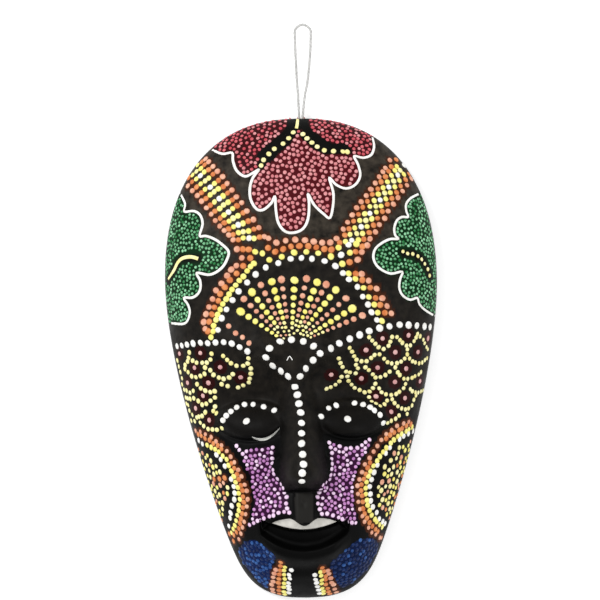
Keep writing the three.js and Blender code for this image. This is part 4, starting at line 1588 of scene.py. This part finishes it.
def noise(material, scale, detail, stretch=(1, 1, 1)):
    """A cloud of noise in the object's own coordinates, stretched along its axes."""
    nodes = material.node_tree.nodes
    links = material.node_tree.links
    place = nodes.new("ShaderNodeTexCoord")
    mapping = nodes.new("ShaderNodeMapping")
    mapping.inputs["Scale"].default_value = stretch
    cloud = nodes.new("ShaderNodeTexNoise")
    cloud.inputs["Scale"].default_value = scale
    cloud.inputs["Detail"].default_value = detail
    links.new(place.outputs["Object"], mapping.inputs["Vector"])
    links.new(mapping.outputs["Vector"], cloud.inputs["Vector"])
    return cloud.outputs["Fac"]


print("helpers for finishes: finish_of, coat, stored and noise")

# %% [markdown]
# The other helpers work on those beginnings: a part of a cloud is stretched over another range, two
# colours are blended, and a height becomes a bump. A Mix node has sockets for numbers and for colours
# under the same names, so they are found by their positions.

# %% Ranges, blends and bumps
MIX_SHARE = 0
MIX_NUMBERS = (2, 3)
MIX_COLOURS = (6, 7)
NUMBER_OUT = 0
COLOUR_OUT = 2


def stretched(material, source, low, high, to_low=0, to_high=1):
    """The part of a source between low and high, stretched over another range."""
    node = material.node_tree.nodes.new("ShaderNodeMapRange")
    node.inputs["From Min"].default_value = low
    node.inputs["From Max"].default_value = high
    node.inputs["To Min"].default_value = to_low
    node.inputs["To Max"].default_value = to_high
    material.node_tree.links.new(source, node.inputs["Value"])
    return node.outputs["Result"]


def blend_colours(material, share, first, second):
    """Mix two colours. Each is a socket or a plain colour."""
    links = material.node_tree.links
    node = material.node_tree.nodes.new("ShaderNodeMix")
    node.data_type = "RGBA"
    for position, value in zip(MIX_COLOURS, (first, second)):
        if isinstance(value, tuple):
            node.inputs[position].default_value = (*value, 1)
        else:
            links.new(value, node.inputs[position])
    links.new(share, node.inputs[MIX_SHARE])
    return node.outputs[COLOUR_OUT]


def add_bump(material, shader, height, strength, distance):
    bump = material.node_tree.nodes.new("ShaderNodeBump")
    bump.inputs["Strength"].default_value = strength
    bump.inputs["Distance"].default_value = distance * MM
    material.node_tree.links.new(height, bump.inputs["Height"])
    material.node_tree.links.new(bump.outputs["Normal"], shader.inputs["Normal"])


print("helpers for finishes: stretched, blend_colours and add_bump")

# %% [markdown]
# The mask's paint is satin black, with grey clouds where `wear_and_sheen` allows them: dust on rubbed
# paint, and
# painted sheen and highlight where the upper face and the nose catch light. The hollow is bare light wood:
# slow bands of pale and darker growth and fine dark fibres, both stretched along the mask as the grain
# runs. One material could be split into two by faces, but a blend by `bare_wood` gives the soft edge
# that paint has where it runs over a rim.

# %% Colours of the painted wood
# Grey of the clouds: dust on rubbed paint, and painted sheen and highlight.
DUST_AND_SHEEN = paint_colour(72, 65, 56)
PALE_WOOD = paint_colour(206, 172, 128)
DARK_WOOD = paint_colour(176, 136, 92)
FIBRE = paint_colour(124, 88, 56)

painted, shader = finish_of("painted wood")
links = painted.node_tree.links
bare_share = stored(painted, "bare_wood").outputs["Fac"]
# Clouds of grey, as strong as the stored wear allows: rubbed dust and painted sheen.
rubbed_and_lit = painted.node_tree.nodes.new("ShaderNodeMath")
rubbed_and_lit.operation = "MULTIPLY"
links.new(stretched(painted, noise(painted, scale=260, detail=8), 0.25, 0.7), rubbed_and_lit.inputs[0])
links.new(stored(painted, "wear_and_sheen").outputs["Fac"], rubbed_and_lit.inputs[1])
paint_ground = stored(painted, "ground").outputs["Color"]
worn_and_lit = blend_colours(painted, rubbed_and_lit.outputs["Value"], paint_ground, DUST_AND_SHEEN)
growth = noise(painted, scale=110, detail=3, stretch=(1, 0.05, 1))
banded = blend_colours(painted, stretched(painted, growth, 0.35, 0.65), PALE_WOOD, DARK_WOOD)
fibres = noise(painted, scale=1600, detail=3, stretch=(1, 0.025, 1))
wood = blend_colours(painted, stretched(painted, fibres, 0.5, 0.75, 0, 0.8), banded, FIBRE)
links.new(blend_colours(painted, bare_share, worn_and_lit, wood), shader.inputs["Base Color"])
print("colours of", painted.name, "are set")

# %% [markdown]
# The sheen of hand-brushed paint is cloudy, so its roughness wanders a little, and the bare wood is
# much duller. A fine bump, stretched along the face, is what the brush left.

# %% Sheen of the painted wood
PAINT_ROUGHNESS = (0.38, 0.6)
WOOD_ROUGHNESS = 0.85
PAINT_SPECULAR = 0.07

cloudy = stretched(painted, noise(painted, scale=140, detail=4), 0.3, 0.7, *PAINT_ROUGHNESS)
roughness = painted.node_tree.nodes.new("ShaderNodeMix")
links.new(bare_share, roughness.inputs[MIX_SHARE])
links.new(cloudy, roughness.inputs[MIX_NUMBERS[0]])
roughness.inputs[MIX_NUMBERS[1]].default_value = WOOD_ROUGHNESS
links.new(roughness.outputs[NUMBER_OUT], shader.inputs["Roughness"])
shader.inputs["Specular IOR Level"].default_value = PAINT_SPECULAR
brush = noise(painted, scale=700, detail=4, stretch=(1, 0.25, 1))
add_bump(painted, shader, brush, strength=0.25, distance=0.3)
coat(mask, painted)
print("finish:", painted.name)

# %% [markdown]
# The drops are thick acrylic paint. One flat colour for each tint would look printed. Noise that is
# about as large as a drop gives each one a tint of its own, as when the stick is dipped again, and a
# fine bump keeps them from looking like plastic beads. Each tint is a lighter and a darker mix.

# %% Drops and lines of paint
TINTS = {
    "white": ((255, 255, 252), (240, 238, 232)),
    "yellow": ((255, 249, 150), (246, 232, 114)),
    "cream": ((255, 250, 190), (245, 234, 152)),
    "orange": ((230, 150, 92), (208, 116, 62)),
    "salmon": ((238, 184, 156), (222, 150, 120)),
    "red": ((228, 158, 160), (204, 116, 122)),
    "crimson": ((218, 112, 120), (186, 66, 78)),
    "rose": ((230, 186, 182), (208, 150, 150)),
    "green": ((148, 214, 166), (32, 118, 60)),
    "violet": ((216, 158, 214), (180, 116, 180)),
    "lilac": ((250, 224, 248), (232, 194, 230)),
    "blue": ((52, 96, 160), (22, 62, 124)),
    "navy": ((6, 44, 100), (1, 20, 64)),
}
TEETH_TINTS = ((214, 211, 204), (196, 193, 186))
# Tints of the painted highlight on the eye's rim.
EYE_HIGHLIGHT_TINTS = ((226, 226, 220), (196, 196, 190))
DIP_SCALE = 320
CRUST_SCALE = 2600


def paint_finish(name, light, dark):
    material, shader = finish_of(name)
    dips = stretched(material, noise(material, DIP_SCALE, detail=2), 0.35, 0.65)
    colour = blend_colours(material, dips, paint_colour(*light), paint_colour(*dark))
    material.node_tree.links.new(colour, shader.inputs["Base Color"])
    shader.inputs["Roughness"].default_value = 0.5
    shader.inputs["Specular IOR Level"].default_value = 0.2
    add_bump(material, shader, noise(material, CRUST_SCALE, detail=3), strength=0.2, distance=0.1)
    return material


for paint, pieces in paint_pieces.items():
    material = paint_finish(paint + " paint", *TINTS[paint])
    for piece in pieces:
        coat(piece, material)
coat(teeth, paint_finish("teeth paint", *TEETH_TINTS))
# The crescent on the eye is a painted highlight.
coat(eye_highlight, paint_finish("eye highlight paint", *EYE_HIGHLIGHT_TINTS))
print("paints:", ", ".join(TINTS))

# %% [markdown]
# The string is white cotton, dull and a little fluffy. The twist is in the mesh already, so the finish
# only adds what is finer: grey flecks, which are painted shade between the fibres and grey the white
# string a little, a soft sheen at the edges and a bump from the same noise. A hair system would show
# fluff that can't be seen at this size.

# %% Cotton string
PALE_COTTON = paint_colour(218, 218, 216)
# Grey mixed into the white string: painted shade between the fibres.
COTTON_SHADE_GREY = paint_colour(160, 160, 158)

cotton, shader = finish_of("cotton string")
fluff = noise(cotton, scale=1800, detail=6, stretch=(1, 0.5, 1))
cotton_colour = blend_colours(cotton, stretched(cotton, fluff, 0.35, 0.7), PALE_COTTON, COTTON_SHADE_GREY)
cotton.node_tree.links.new(cotton_colour, shader.inputs["Base Color"])
shader.inputs["Roughness"].default_value = 0.9
shader.inputs["Sheen Weight"].default_value = 0.2
add_bump(cotton, shader, fluff, strength=0.5, distance=0.1)
for piece in (hanging_string, string_knot):
    coat(piece, cotton)
print("finish:", cotton.name)

# %% [markdown]
# ## Floor and light
#
# The mask lies on white paper, as on a studio table. Lit paper beside a dark mask easily turns grey, and
# more light would bleach the paint. So the paper glows faintly by itself, which keeps it white and still
# lets a soft shadow show.

# %% Floor
FLOOR_SIZE = 3
FLOOR_GAP = 0.2
PAPER_GLOW = 0.42

sheet = bmesh.new()
bmesh.ops.create_grid(sheet, x_segments=1, y_segments=1, size=FLOOR_SIZE)
bmesh.ops.translate(sheet, verts=sheet.verts, vec=(0, 0, -FLOOR_GAP * MM))
floor_mesh = bpy.data.meshes.new("floor")
sheet.to_mesh(floor_mesh)
sheet.free()
floor = bpy.data.objects.new("floor", floor_mesh)
scene.collection.objects.link(floor)

paper, shader = finish_of("pale paper")
specks = stretched(paper, noise(paper, scale=12, detail=3), 0.3, 0.7)
paper_colour = blend_colours(paper, specks, paint_colour(250, 250, 250), paint_colour(246, 246, 246))
paper.node_tree.links.new(paper_colour, shader.inputs["Base Color"])
shader.inputs["Roughness"].default_value = 0.9
shader.inputs["Emission Color"].default_value = (1, 1, 1, 1)
shader.inputs["Emission Strength"].default_value = PAPER_GLOW
coat(floor, paper)
print("floor:", paper.name)

# %% [markdown]
# Large lights give soft shadows, small ones hard shadows. The key light stands at the top left and
# models the relief, a weaker fill light at the right keeps the other side readable, and a bright room
# lights everything evenly.

# %% Lights
LIGHTS = (
    ("key", (-1.1, 0.9, 1.5), 1.0, 22),
    ("fill", (1.2, -0.3, 1.4), 1.2, 9),
)
ROOM_LIGHT = 0.6


def soft_light(name, place, size, power):
    data = bpy.data.lights.new(name, "AREA")
    data.shape = "DISK"
    data.size = size
    data.energy = power
    light = bpy.data.objects.new(name, data)
    light.location = place
    light.rotation_euler = (-Vector(place)).to_track_quat("-Z", "Y").to_euler()
    scene.collection.objects.link(light)


for light in LIGHTS:
    soft_light(*light)
world = bpy.data.worlds.new("studio")
world.use_nodes = True
background = world.node_tree.nodes["Background"]
background.inputs["Color"].default_value = (1, 1, 1, 1)
background.inputs["Strength"].default_value = ROOM_LIGHT
scene.world = world
scene.view_settings.view_transform = "Standard"
print("lights:", ", ".join(name for name, *_ in LIGHTS), "and a bright room")
